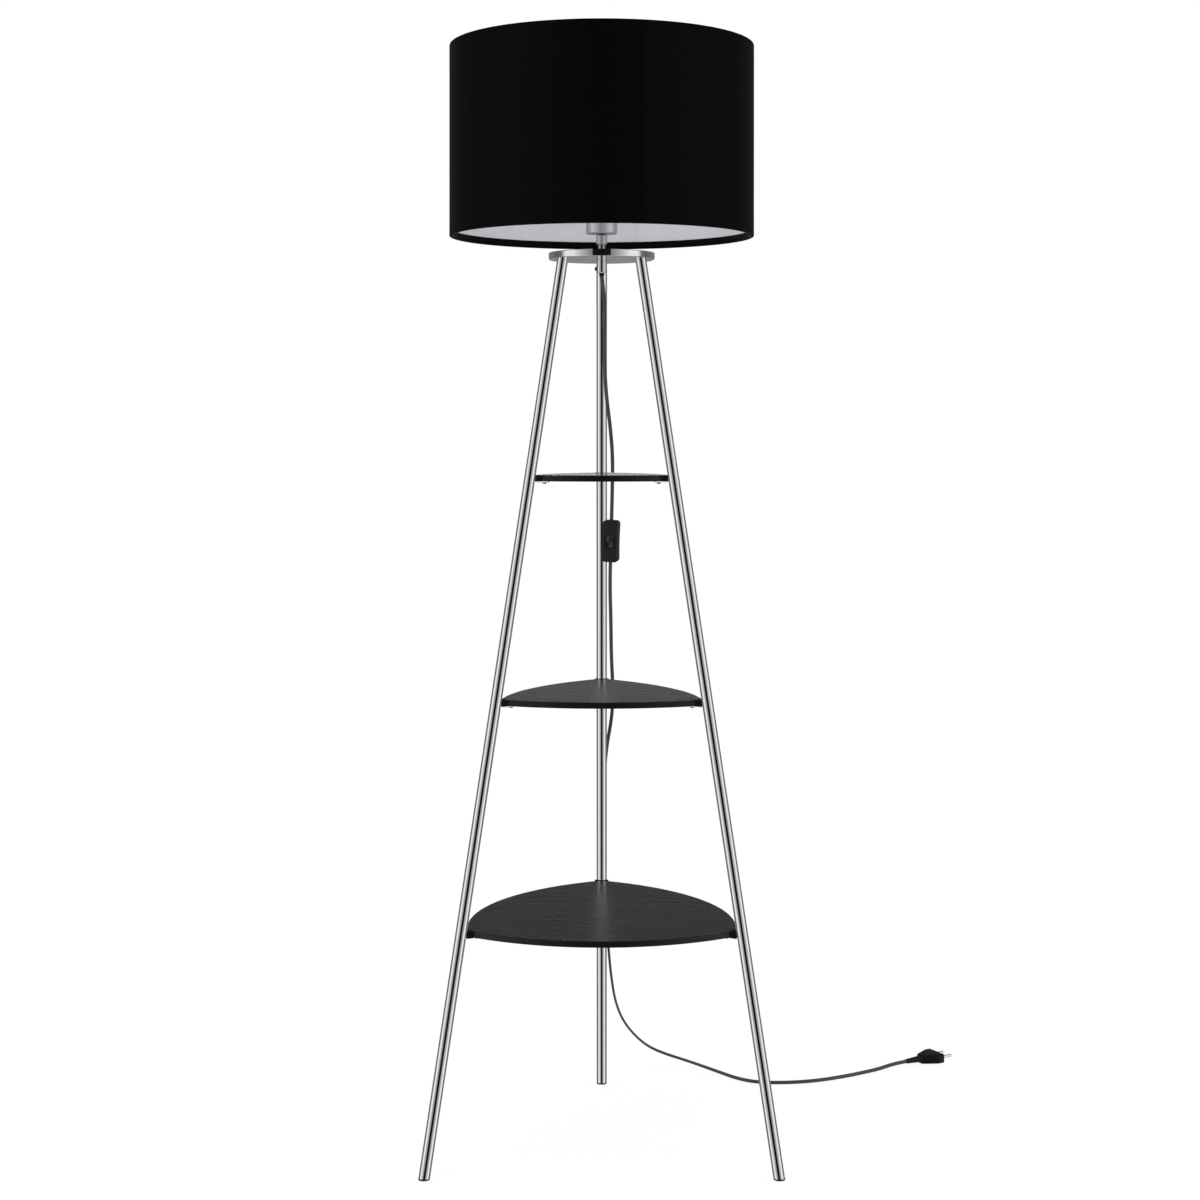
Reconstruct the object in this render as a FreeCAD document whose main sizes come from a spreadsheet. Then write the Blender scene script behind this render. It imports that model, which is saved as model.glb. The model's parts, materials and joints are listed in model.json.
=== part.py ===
import FreeCAD, Part

import math
import os
import re

import Sketcher

# Floor lamp on three chrome legs, with three black shelves between them and a drum shade on top.
# Millimetres, +X right, +Y towards the rear leg, +Z up, z = 0 on the floor.
# Every sub-part is drawn about the lamp's own upright axis. Its Placement then moves that axis to
# where the lamp's bounding box, without the cord, is centred on the origin.

Vector = FreeCAD.Vector
Rotation = FreeCAD.Rotation
Placement = FreeCAD.Placement
X_AXIS = Vector(1, 0, 0)
Y_AXIS = Vector(0, 1, 0)
Z_AXIS = Vector(0, 0, 1)

SIZES = {
    # legs and feet
    "leg_dia": 14.5,            # outside of a leg tube
    "leg_wall": 1.2,
    "foot_circle": 257.5,       # leg centre lines from the lamp's axis, on the floor
    "crown_circle": 58.4,       # the same, under the plate
    "glide_thick": 2.0,         # foot glide below the tube's end
    "glide_plug": 22.0,         # its plug inside the tube
    "insert_length": 26.0,      # threaded plug in a tube's top
    # top plate
    "plate_z": 1164.0,          # underside
    "plate_dia": 139.5,
    "plate_thick": 9.0,
    "plate_round": 1.2,
    "block_width": 23.4,        # black block in the rim
    "block_depth": 6.0,
    "block_height": 7.6,
    "block_proud": 0.5,
    "leg_screw_dia": 5.0,
    "leg_screw_sink": 2.3,      # countersink, at 45 degrees
    "leg_screw_bite": 14.0,     # below the plate, in the threaded plug
    "leg_screw_key": 3.0,       # across the corners of its hexagon socket
    "leg_screw_depth": 1.9,     # of that socket
    # shelves: height of the top face, and reach from the axis to the middle of a side
    "low_z": 305.0,
    "low_reach": 155.5,
    "mid_z": 595.0,
    "mid_reach": 103.5,
    "top_z": 882.0,
    "top_reach": 72.0,
    "shelf_thick": 8.0,
    "corner_gap": 6.0,          # from a tube to the shelf's corner
    "corner_half": 9.8,         # half the width of a shelf's cut corner
    "corner_round": 2.5,
    "shelf_edge": 1.0,          # rounding of the shelf's edges
    # what carries a shelf's corner
    "saddle_width": 19.3,
    "saddle_wrap": 3.0,         # how far a saddle reaches round its tube
    "tab_width": 12.0,
    "tab_thick": 1.6,
    "tab_screw_inset": 8.0,     # wood screw, inward of the shelf's corner
    "wood_screw_dia": 3.5,
    "wood_screw_head": 6.4,
    "wood_screw_cap": 1.8,
    "wood_screw_bite": 5.5,
    # stem and cord grip
    "stem_dia": 10.0,
    "stem_bore": 7.2,
    "grip_dia": 13.2,
    "grip_length": 17.3,
    "grip_thread": 8.0,         # length of stem inside the grip
    "grip_edge": 0.8,
    "grip_screw_dia": 3.6,
    "grip_screw_head": 6.2,
    "grip_screw_stand": 2.4,
    "grip_screw_rise": 5.5,     # above the grip's lower end
    "sleeve_dia": 6.6,
    "sleeve_length": 4.0,       # below the grip
    "washer_dia": 19.0,
    "washer_thick": 1.2,
    "nut_corners": 18.5,
    "nut_height": 4.0,
    "collar_dia": 14.4,
    "collar_height": 12.0,
    "collar_round": 1.5,
    "bush_dia": 11.4,
    "bush_height": 1.8,
    # lampholder
    "holder_stand": 25.0,       # from the plate up to the cup
    "cup_dia": 41.0,
    "cup_height": 23.0,
    "cup_wall": 1.2,
    "cup_floor": 2.4,
    "cup_round": 1.6,
    "boss_wall": 2.5,
    "boss_height": 8.0,         # threaded entry, from the cup's bottom
    "cord_spare": 1.0,          # cord above that entry
    "skirt_dia": 39.0,
    "skirt_wall": 1.3,
    "skirt_height": 35.0,       # above the cup
    "skirt_neck": 8.0,          # inside the cup
    "skirt_ledge": 1.5,
    "skirt_ledge_width": 2.0,
    "shoulder_dia": 45.0,
    "shoulder_thick": 2.2,
    "shoulder_rise": 14.5,      # shoulder's top above the cup
    "shell_bore": 26.6,         # inside of the lamp thread
    "shell_wall": 0.4,
    "shell_depth": 23.0,
    "shell_inset": 2.0,         # below the skirt's rim
    "shell_ledge": 1.5,         # clear of the centre contact, under the shell
    "contact_dia": 9.0,
    "contact_rise": 3.0,
    "contact_thick": 0.8,
    "terminal_width": 5.0,
    "terminal_length": 7.0,
    "terminal_height": 7.0,
    "terminal_pitch": 17.0,
    # shade carrier
    "hub_bore": 40.0,
    "hub_dia": 56.0,
    "hub_thick": 4.0,
    "ring_dia": 52.0,
    "ring_body": 46.0,
    "ring_height": 7.0,
    "ring_flange": 2.4,
    "ring_notch": 3.4,
    "ring_notch_count": 12,
    # shade
    "shade_dia": 400.0,
    "shade_height": 250.0,
    "carrier_rise": 43.8,       # carrier ring above the shade's lower edge
    "fabric_thick": 0.6,
    "liner_thick": 1.0,
    "wire_dia": 4.0,
    "hem_depth": 10.0,
    # switch in the cord
    "switch_width": 23.0,
    "switch_thick": 16.0,
    "switch_waist": 0.8,
    "switch_round": 5.0,
    "switch_edge": 2.4,
    "rocker_length": 17.6,
    "rocker_width": 8.4,
    "rocker_stand": 1.6,        # its raised end above the front face
    "rocker_dish": 0.3,         # its middle above the front face
    "rocker_pivot": 3.4,        # pin below the front face
    "rocker_root": 2.4,         # its inner face below the pin
    "rocker_draft": 0.8,
    "rocker_pin_dia": 2.0,
    "rocker_pin_hold": 1.6,     # pin inside each wall of the window
    "window_side": 0.35,
    "window_end": 1.0,
    "well_depth": 4.5,
    "strip_width": 2.0,
    "strip_height": 3.0,
    "strip_pitch": 11.0,
    "shell_screw_dia": 3.0,
    "shell_screw_head": 5.2,
    "shell_screw_cap": 1.8,
    "shell_screw_sink": 2.2,
    "shell_screw_bite": 4.5,
    "shell_screw_pitch": 41.0,
    # plug
    "plug_width": 35.0,
    "plug_height": 13.2,
    "plug_length": 34.0,
    "plug_shoulder": 11.0,
    "plug_neck": 12.0,
    "plug_edge": 2.4,
    "pin_dia": 4.0,
    "pin_length": 19.0,
    "pin_pitch": 18.6,
    "pin_seat": 8.0,
    "relief_length": 24.0,
    "relief_dia": 9.6,
    "relief_wall": 0.6,         # round the cord, at its thin end
    # cord
    "cord_dia": 5.4,
    # fits
    "seat_gap": 0.05,           # between assembled pieces
    "turn_gap": 0.3,            # between pieces that move past each other
    "pin_gap": 0.05,            # rocker on its pin
    "screw_room": 0.5,          # of a hole beyond its screw's end
    "round_flat": 0.15,         # what a full-round end leaves flat to each side
    "cut_over": 2.0,            # of a cutting shape past what it cuts
}

# What follows from the sizes above. A cell may use any cell before it.
WORKED = {
    "leg_radius": "leg_dia / 2",
    "leg_bore": "leg_radius - leg_wall",
    "slope": "(foot_circle - crown_circle) / plate_z",
    "lean": "atan(slope)",
    "overrun": "2 * leg_dia",
    "blank": "plate_z / cos(lean) + 2 * overrun",
    "foot_reach": "foot_circle + leg_radius / cos(lean)",
    "shade_radius": "shade_dia / 2",
    "axis_y": "(shade_radius - foot_reach) / 2",
    "plate_radius": "plate_dia / 2",
    "plate_top": "plate_z + plate_thick",
    "holder_z": "plate_top + holder_stand",
    "leg_screw_radius": "leg_screw_dia / 2",
    "insert_z": "plate_z - insert_length",
    "low_leg": "foot_circle - slope * low_z",
    "mid_leg": "foot_circle - slope * mid_z",
    "top_leg": "foot_circle - slope * top_z",
    "low_corner": "low_leg - leg_radius - corner_gap",
    "mid_corner": "mid_leg - leg_radius - corner_gap",
    "top_corner": "top_leg - leg_radius - corner_gap",
    "tab_round": "tab_width / 2",
    "stem_radius": "stem_dia / 2",
    "stem_hole": "stem_radius + seat_gap",
    "cord_radius": "cord_dia / 2",
    "cord_hole": "cord_radius + seat_gap",
    "grip_z": "plate_z - grip_length",
    "sleeve_z": "grip_z - sleeve_length",
    "sleeve_top": "plate_z - grip_thread - seat_gap",
    "nut_z": "plate_top + washer_thick",
    "bush_z": "holder_z - bush_height",
    "collar_z": "bush_z - collar_height",
    "cup_radius": "cup_dia / 2",
    "cup_bore": "cup_radius - cup_wall",
    "cup_top": "holder_z + cup_height",
    "boss_top": "holder_z + boss_height",
    "neck_radius": "cup_bore - seat_gap",
    "neck_z": "cup_top - skirt_neck",
    "ledge_z": "neck_z + skirt_ledge",
    "skirt_radius": "skirt_dia / 2",
    "skirt_bore": "neck_radius - skirt_wall",
    "skirt_top": "cup_top + skirt_height",
    "shoulder_top": "cup_top + shoulder_rise",
    "shoulder_z": "shoulder_top - shoulder_thick",
    "shell_radius": "shell_bore / 2",
    "shell_out": "shell_radius + shell_wall",
    "shell_top": "skirt_top - shell_inset",
    "shell_z": "shell_top - shell_depth",
    "contact_z": "shell_z - contact_rise",
    "hub_z": "shoulder_top + turn_gap",
    "hub_radius": "hub_dia / 2",
    "hub_mid": "hub_z + hub_thick / 2",
    "ring_z": "hub_z + hub_thick + turn_gap",
    "shade_z": "hub_mid - carrier_rise",
    "shade_top": "shade_z + shade_height",
    "wire_radius": "wire_dia / 2",
    "fabric_in": "shade_radius - fabric_thick",
    "liner_out": "fabric_in - seat_gap",
    "liner_in": "liner_out - liner_thick",
    "wire_circle": "liner_in - seat_gap - wire_radius",
    "lip_out": "wire_circle - wire_radius - seat_gap",
    "lip_in": "lip_out - fabric_thick",
    "lip_fold": "fabric_thick + seat_gap + wire_dia",
    "lip_end_out": "liner_in - seat_gap",
    "lip_end_in": "lip_end_out - fabric_thick",
    "front_y": "switch_thick / 2",
    "pivot_y": "front_y - rocker_pivot",
    "window_width": "rocker_width + 2 * window_side",
    "window_length": "rocker_length + 2 * window_end",
    "rocker_pin_radius": "rocker_pin_dia / 2",
    "tail": "plug_length + relief_length",
}

# Turns about the lamp's axis of the three legs, each drawn on +X.
LEGS = {"rear": 90, "left": 210, "right": 330}
LEVELS = ("low", "mid", "top")
ARM_TURNS = (30, 150, 270)

# The cord's free stretches, from the lamp's axis and the floor. The switch lies between them.
UPPER_ROUTE = [
    (0.0, 0.0, 1142.7), (0.0, 0.0, 1096.0), (5.5, 14.5, 1044.0), (10.5, 42.0, 988.0),
    (16.6, 73.0, 938.0), (17.4, 101.5, 900.0), (14.12, 95.05, 845.0), (13.39, 97.26, 816.9),
]
LOWER_ROUTE = [
    (11.91, 101.74, 760.1), (11.13, 104.1, 730.18), (13.4, 119.0, 680.0), (16.2, 139.5, 628.0),
    (17.6, 152.5, 580.0), (17.0, 168.5, 540.0), (9.0, 194.0, 492.0), (3.0, 201.0, 440.0),
    (0.0, 208.5, 384.0), (0.5, 218.0, 326.0), (3.5, 227.0, 268.0), (8.5, 236.0, 212.0),
    (14.2, 247.0, 160.0), (22.0, 268.0, 112.0), (38.0, 300.0, 72.0), (61.4, 330.0, 36.5),
    (85.5, 346.0, 18.5), (129.5, 336.0, 7.5), (170.0, 301.0, 2.8), (197.0, 268.0, 2.8),
    (225.0, 251.5, 2.8), (268.0, 250.5, 2.8), (310.5, 260.0, 2.8), (353.0, 280.5, 2.8),
    (384.0, 300.0, 2.8), (408.0, 314.5, 3.6), (430.0, 327.5, 6.8), (450.0, 339.0, 6.8),
]
DRAFT_SPOT = Vector(20, 20, 0)  # where a sketch's shapes start before their dimensions place them
SWITCH_TURN = -15.0             # degrees about the cord, facing a little to the left
ROCKER_TIP = 7.0                # degrees to each side of level; the rocker rests tipped one way
RUN_SHARE = 0.45                # of the shorter run, taken up by each end of a bend

doc = FreeCAD.newDocument("shelf_floor_lamp")
sheet = doc.addObject("Spreadsheet::Sheet", "Sizes")
parts = []


def fill_sheet():
    """Write the driving sizes, then the worked ones, one row each."""
    for row, (alias, size) in enumerate(SIZES.items(), start=1):
        sheet.set(f"A{row}", alias)
        sheet.set(f"B{row}", str(size))
        sheet.setAlias(f"B{row}", alias)
    for row, (alias, formula) in enumerate(WORKED.items(), start=len(SIZES) + 1):
        sheet.set(f"A{row}", alias)
        sheet.set(f"B{row}", "=" + formula)
        sheet.setAlias(f"B{row}", alias)
    doc.recompute()


def size(alias):
    """Read one size from the sheet as a plain number."""
    value = sheet.get(alias)
    return float(getattr(value, "Value", value))


def linked(text):
    """Point each size named in a formula at its cell."""
    return re.sub(r"[a-z_]+", lambda word: known(word.group()), text)


def known(word):
    if word in SIZES or word in WORKED:
        return "Sizes." + word
    return word


def bind(thing, **fields):
    """Bind fields of an object to formulas. A double underscore in a field's name is a dot."""
    for field, formula in fields.items():
        thing.setExpression(field.replace("__", "."), linked(formula))
    return thing


def stand(thing, label, turn=0):
    """Name a sub-part and stand it on the lamp's axis, turned about it."""
    thing.Label = label
    thing.Placement = Placement(Vector(), Rotation(Z_AXIS, turn))
    bind(thing, Placement__Base__y="axis_y")
    parts.append(thing)
    return thing


# ---- sketches and bodies --------------------------------------------------------------------

def new_body(label):
    return doc.addObject("PartDesign::Body", label)


def new_sketch(body, plane, name, **offset):
    """Sketch on one of the body's origin planes, lifted off it by an optional formula."""
    sketch = body.newObject("Sketcher::SketchObject", name)
    base = next(face for face in body.Origin.OriginFeatures if face.Role == plane)
    sketch.AttachmentSupport = [(base, "")]
    sketch.MapMode = "FlatFace"
    for field, formula in offset.items():
        bind(sketch, **{"AttachmentOffset__Base__" + field: formula})
    return sketch


def fix(sketch, kind, *geometry, formula, start=1.0):
    """Add one dimension, bound to a formula, with the value it starts from."""
    index = sketch.addConstraint(Sketcher.Constraint(kind, *geometry, start))
    sketch.setExpression(f"Constraints[{index}]", linked(formula))


def add_polygon(sketch, corners):
    """Closed polygon whose corners are pairs of formulas. It starts as a regular polygon."""
    first = sketch.GeometryCount
    count = len(corners)
    spots = [Rotation(Z_AXIS, 360.0 * step / count).multVec(X_AXIS * DRAFT_SPOT.x) for step in range(count)]
    for step in range(count):
        sketch.addGeometry(Part.LineSegment(spots[step], spots[(step + 1) % count]), False)
    for step in range(count):
        joined = Sketcher.Constraint("Coincident", first + step, 2, first + (step + 1) % count, 1)
        sketch.addConstraint(joined)
    for step, (across, up) in enumerate(corners):
        fix(sketch, "DistanceX", first + step, 1, formula=across)
        fix(sketch, "DistanceY", first + step, 1, formula=up)


def add_circle(sketch, across, up, radius):
    index = sketch.addGeometry(Part.Circle(DRAFT_SPOT, Z_AXIS, DRAFT_SPOT.x), False)
    fix(sketch, "DistanceX", index, 3, formula=across)
    fix(sketch, "DistanceY", index, 3, formula=up)
    fix(sketch, "Radius", index, formula=radius)


def add_rectangle(sketch, left, right, low, high):
    add_polygon(sketch, [(left, low), (right, low), (right, high), (left, high)])


def revolve(body, sketch):
    feature = body.newObject("PartDesign::Revolution", body.Name + "_turned")
    feature.Profile = sketch
    feature.ReferenceAxis = (sketch, ["V_Axis"])
    feature.Angle = 360
    doc.recompute()
    return feature


def turned(label, *profile):
    """Body turned about the lamp's axis from a profile of (radius, height) formulas."""
    body = new_body(label)
    sketch = new_sketch(body, "XZ_Plane", label + "_profile")
    add_polygon(sketch, profile)
    revolve(body, sketch)
    return body


def tube_profile(inner, outer, low, high):
    return [(inner, low), (outer, low), (outer, high), (inner, high)]


def pad(body, sketch, length, backwards=False, middle=False):
    feature = body.newObject("PartDesign::Pad", body.Name + "_pad")
    feature.Profile = sketch
    feature.Reversed = backwards
    feature.Midplane = middle
    bind(feature, Length=length)
    doc.recompute()
    return feature


def pocket(body, sketch, depth=None, backwards=False, middle=False):
    """Cut a sketch out of the body, through all of it where no depth is given."""
    before = body.Shape.Volume
    feature = body.newObject("PartDesign::Pocket", body.Name + "_pocket")
    feature.Profile = sketch
    feature.Reversed = backwards
    feature.Midplane = middle
    if depth is None:
        feature.Type = "ThroughAll"
    else:
        bind(feature, Length=depth)
    doc.recompute()
    if not body.Shape.Volume < before:
        raise ValueError(sketch.Label + " cuts nothing from " + body.Label)
    return feature


def polar(body, feature, sketch, count):
    pattern = body.newObject("PartDesign::PolarPattern", body.Name + "_round")
    pattern.Originals = [feature]
    pattern.Axis = (sketch, ["N_Axis"])
    pattern.Angle = 360
    bind(pattern, Occurrences=count)
    body.Tip = pattern
    doc.recompute()
    return pattern


def edges_where(body, test):
    """Names of the edges of a body that pass a test."""
    return [f"Edge{n}" for n, edge in enumerate(body.Shape.Edges, start=1) if test(edge)]


def dress(kind, body, test, **fields):
    """Fillet or chamfer the edges of a body that pass a test."""
    names = edges_where(body, test)
    if not names:
        raise ValueError("no edge to dress on " + body.Label)
    base = body.Tip
    feature = body.newObject("PartDesign::" + kind, body.Name + "_" + kind.lower())
    feature.Base = (base, names)
    bind(feature, **fields)
    doc.recompute()
    return feature


def at_height(level):
    """Test for an edge that lies level at a height."""
    def test(edge):
        box = edge.BoundBox
        return abs(box.ZMin - level) < 0.01 and abs(box.ZMax - level) < 0.01
    return test


def ring_edge(level, radius):
    """Test for a circle about the lamp's axis."""
    def test(edge):
        if not at_height(level)(edge) or not isinstance(edge.Curve, Part.Circle):
            return False
        return abs(edge.Curve.Radius - radius) < 0.01 and edge.Curve.Center.x ** 2 < 0.01
    return test


def runs_along(axis):
    """Test for a straight edge along an axis."""
    def test(edge):
        straight = isinstance(edge.Curve, Part.Line)
        return straight and abs(abs(edge.Curve.Direction.dot(axis)) - 1) < 1e-6
    return test


# ---- solids that primitives suit ------------------------------------------------------------

def primitive(kind, name, **fields):
    return bind(doc.addObject("Part::" + kind, name), **fields)


def combine(kind, name, base, tool):
    feature = doc.addObject("Part::" + kind, name)
    feature.Base = base
    feature.Tool = tool
    return feature


def box(name, x, y, z, length, width, height):
    return primitive("Box", name, Length=length, Width=width, Height=height,
                     Placement__Base__x=x, Placement__Base__y=y, Placement__Base__z=z)


def rod(name, radius, height, x="0", z="0"):
    """Upright cylinder."""
    return primitive("Cylinder", name, Radius=radius, Height=height,
                     Placement__Base__x=x, Placement__Base__z=z)


def cross_rod(name, radius, length, x, z):
    """Cylinder that lies along X."""
    thing = primitive("Cylinder", name, Radius=radius, Height=length)
    thing.Placement.Rotation = Rotation(Y_AXIS, 90)
    return bind(thing, Placement__Base__x=x, Placement__Base__z=z)


def leg_bar(name, radius):
    """Round bar along the centre line of the leg drawn on +X, longer than the leg."""
    bar = primitive("Cylinder", name, Radius=radius, Height="blank")
    bar.Placement = Placement(Vector(), Rotation(-Y_AXIS, 10))
    return bind(bar, Placement__Rotation__Angle="lean",
                Placement__Base__x="foot_circle + overrun * sin(lean)",
                Placement__Base__z="-overrun * cos(lean)")


def cut_level(name, bar, low, high):
    """Keep a leg bar between two heights."""
    slab = box(name + "_slab", "0", "-leg_dia", low, "foot_reach + overrun", "2 * leg_dia",
               f"({high}) - ({low})")
    return combine("Common", name, bar, slab)


def three_of(label, piece, turns):
    """The same piece at three turns about the axis, as one sub-part of separate solids."""
    copies = []
    for turn in turns:
        copy = doc.addObject("App::Link", f"{label}_{turn}")
        copy.LinkedObject = piece
        copy.LinkTransform = True
        copy.LinkPlacement = Placement(Vector(), Rotation(Z_AXIS, turn))
        copies.append(copy)
    group = doc.addObject("Part::Compound", label)
    group.Links = copies
    return stand(group, label)


# ---- legs and feet --------------------------------------------------------------------------

def make_leg(side, turn):
    wall = combine("Cut", f"leg_{side}_wall", leg_bar(f"leg_{side}_bar", "leg_radius"),
                   leg_bar(f"leg_{side}_bore", "leg_bore"))
    leg = cut_level(f"leg_{side}", wall, "glide_thick", "plate_z")
    stand(leg, f"leg_{side}", turn)


def make_glide(side, turn):
    """Thin flange under the tube's end, with a plug up inside the tube."""
    flange = cut_level(f"glide_{side}_flange", leg_bar(f"glide_{side}_disc", "leg_radius"),
                       "0", "glide_thick")
    plug = cut_level(f"glide_{side}_plug", leg_bar(f"glide_{side}_rod", "leg_bore - seat_gap"),
                     "glide_thick / 2", "glide_thick + glide_plug")
    glide = combine("Fuse", f"glide_{side}", flange, plug)
    stand(glide, f"glide_{side}", turn)


def make_leg_inserts():
    """Threaded plugs in the tube tops, each with an upright screw hole."""
    plug = cut_level("insert_plug", leg_bar("insert_rod", "leg_bore - seat_gap"),
                     "insert_z", "plate_z")
    hole = rod("insert_hole", "leg_screw_radius + seat_gap",
               "leg_screw_bite + screw_room + cut_over",
               "crown_circle", "plate_z - leg_screw_bite - screw_room")
    three_of("leg_inserts", combine("Cut", "insert", plug, hole), LEGS.values())


def make_leg_screws():
    """Countersunk socket screws through the plate."""
    shank = rod("leg_screw_shank", "leg_screw_radius", "leg_screw_bite + plate_thick - 2 * seat_gap",
                "crown_circle", "plate_z - leg_screw_bite")
    head = primitive("Cone", "leg_screw_cone", Radius1="leg_screw_radius",
                     Radius2="leg_screw_radius + leg_screw_sink - seat_gap",
                     Height="leg_screw_sink - seat_gap", Placement__Base__x="crown_circle",
                     Placement__Base__z="plate_top - leg_screw_sink")
    screw = combine("Fuse", "leg_screw_solid", shank, head)
    socket = primitive("Prism", "leg_screw_socket", Circumradius="leg_screw_key / 2",
                       Height="leg_screw_sink", Placement__Base__x="crown_circle",
                       Placement__Base__z="plate_top - leg_screw_depth")
    socket.Polygon = 6
    three_of("leg_screws", combine("Cut", "leg_screw", screw, socket), LEGS.values())


# ---- top plate and what passes through it ---------------------------------------------------

def make_top_plate():
    """Disc with a stem hole, three countersunk holes and a notch for the block in its rim."""
    body = turned("top_plate", *tube_profile("stem_hole", "plate_radius", "plate_z", "plate_top"))
    rim = ring_edge(size("plate_z"), size("plate_radius"))
    brim = ring_edge(size("plate_top"), size("plate_radius"))
    dress("Fillet", body, lambda edge: rim(edge) or brim(edge), Radius="plate_round")
    holes = new_sketch(body, "XY_Plane", "plate_holes", z="plate_z")
    for turn in LEGS.values():
        add_circle(holes, f"crown_circle * cos({turn})", f"crown_circle * sin({turn})",
                   "leg_screw_radius + seat_gap")
    pocket(body, holes, "plate_thick", backwards=True)
    top = at_height(size("plate_top"))
    hole = size("leg_screw_radius") + size("seat_gap")

    def mouth(edge):
        return top(edge) and isinstance(edge.Curve, Part.Circle) \
            and abs(edge.Curve.Radius - hole) < 0.01

    dress("Chamfer", body, mouth, Size="leg_screw_sink - seat_gap")
    notch = new_sketch(body, "XY_Plane", "plate_notch", z="plate_top")
    add_rectangle(notch, "-block_width / 2 - seat_gap", "block_width / 2 + seat_gap",
                  "-plate_radius - cut_over", "block_depth + seat_gap - plate_radius")
    pocket(body, notch, "block_height + seat_gap")
    stand(body, "top_plate")


def make_rim_block():
    """Black block in the front of the rim, a little proud of it."""
    blank = box("block_blank", "-block_width / 2", "-plate_radius - cut_over",
                "plate_top - block_height", "block_width", "block_depth + cut_over", "block_height")
    face = rod("block_face", "plate_radius + block_proud", "plate_thick", z="plate_z")
    stand(combine("Common", "rim_block", blank, face), "rim_block")


def make_stem():
    body = turned("stem", *tube_profile("stem_bore / 2", "stem_radius",
                                        "plate_z - grip_thread", "boss_top"))
    stand(body, "stem")


def make_stem_washer():
    body = turned("stem_washer", *tube_profile("stem_hole", "washer_dia / 2",
                                               "plate_top", "nut_z"))
    stand(body, "stem_washer")


def make_stem_nut():
    blank = primitive("Prism", "nut_blank", Circumradius="nut_corners / 2", Height="nut_height",
                      Placement__Base__z="nut_z")
    blank.Polygon = 6
    hole = rod("nut_hole", "stem_hole", "nut_height", z="nut_z")
    stand(combine("Cut", "stem_nut", blank, hole), "stem_nut")


def make_collar():
    body = turned("stem_collar", *tube_profile("stem_hole", "collar_dia / 2",
                                               "collar_z", "bush_z"))
    dress("Fillet", body, ring_edge(size("collar_z"), size("collar_dia") / 2),
          Radius="collar_round")
    stand(body, "stem_collar")


def make_bush():
    body = turned("entry_bush", *tube_profile("stem_hole", "bush_dia / 2",
                                              "bush_z", "holder_z"))
    stand(body, "entry_bush")


def make_cord_grip():
    """Chrome grip on the stem's lower end, with a cross hole for its clamp screw."""
    body = turned(
        "cord_grip",
        ("sleeve_dia / 2 + seat_gap", "grip_z"),
        ("grip_dia / 2 - grip_edge", "grip_z"),
        ("grip_dia / 2", "grip_z + grip_edge"),
        ("grip_dia / 2", "plate_z - grip_edge"),
        ("grip_dia / 2 - grip_edge / 2", "plate_z"),
        ("stem_hole", "plate_z"),
        ("stem_hole", "plate_z - grip_thread"),
        ("sleeve_dia / 2 + seat_gap", "plate_z - grip_thread"),
    )
    hole = new_sketch(body, "YZ_Plane", "grip_screw_hole")
    add_circle(hole, "0", "grip_z + grip_screw_rise", "grip_screw_dia / 2 + seat_gap")
    pocket(body, hole)
    stand(body, "cord_grip")


def make_grip_screw():
    """Black clamp screw that sticks out to the left and bears on the sleeve."""
    shank = cross_rod("grip_screw_shank", "grip_screw_dia / 2",
                      "grip_dia / 2 - sleeve_dia / 2", "-grip_dia / 2 - seat_gap",
                      "grip_z + grip_screw_rise")
    head = primitive("Cone", "grip_screw_cap", Radius1="grip_screw_head / 3",
                     Radius2="grip_screw_head / 2", Height="grip_screw_stand")
    head.Placement.Rotation = Rotation(Y_AXIS, 90)
    bind(head, Placement__Base__x="-grip_dia / 2 - seat_gap - grip_screw_stand",
         Placement__Base__z="grip_z + grip_screw_rise")
    stand(combine("Fuse", "grip_screw", shank, head), "grip_screw")


def make_cord_sleeve():
    body = turned("cord_sleeve", *tube_profile("cord_hole", "sleeve_dia / 2",
                                               "sleeve_z", "sleeve_top"))
    stand(body, "cord_sleeve")


def make_cord_inside():
    """Cord from the sleeve's mouth up through the stem to the terminals."""
    cord = rod("cord_inside", "cord_radius", "boss_top + cord_spare - sleeve_z", z="sleeve_z")
    stand(cord, "cord_inside")


# ---- lampholder -----------------------------------------------------------------------------

def make_holder_cup():
    body = turned(
        "holder_cup",
        ("stem_hole", "holder_z"),
        ("cup_radius", "holder_z"),
        ("cup_radius", "cup_top"),
        ("cup_bore", "cup_top"),
        ("cup_bore", "holder_z + cup_floor"),
        ("stem_hole + boss_wall", "holder_z + cup_floor"),
        ("stem_hole + boss_wall", "boss_top"),
        ("stem_hole", "boss_top"),
    )
    dress("Fillet", body, ring_edge(size("holder_z"), size("cup_radius")), Radius="cup_round")
    stand(body, "holder_cup")


def make_holder_skirt():
    """Threaded skirt: neck in the cup, ledge for the insulator, shoulder for the shade."""
    body = turned(
        "holder_skirt",
        ("skirt_bore - skirt_ledge_width", "neck_z"),
        ("neck_radius", "neck_z"),
        ("neck_radius", "cup_top"),
        ("skirt_radius", "cup_top"),
        ("skirt_radius", "shoulder_z"),
        ("shoulder_dia / 2", "shoulder_z"),
        ("shoulder_dia / 2", "shoulder_top"),
        ("skirt_radius", "shoulder_top"),
        ("skirt_radius", "skirt_top"),
        ("skirt_bore", "skirt_top"),
        ("skirt_bore", "ledge_z"),
        ("skirt_bore - skirt_ledge_width", "ledge_z"),
    )
    stand(body, "holder_skirt")


def make_insulator():
    body = turned(
        "holder_insulator",
        ("0", "ledge_z"),
        ("skirt_bore - seat_gap", "ledge_z"),
        ("skirt_bore - seat_gap", "shell_top"),
        ("shell_out + seat_gap", "shell_top"),
        ("shell_out + seat_gap", "shell_z"),
        ("contact_dia / 2 + shell_ledge", "shell_z"),
        ("contact_dia / 2 + shell_ledge", "contact_z"),
        ("0", "contact_z"),
    )
    stand(body, "holder_insulator")


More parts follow.
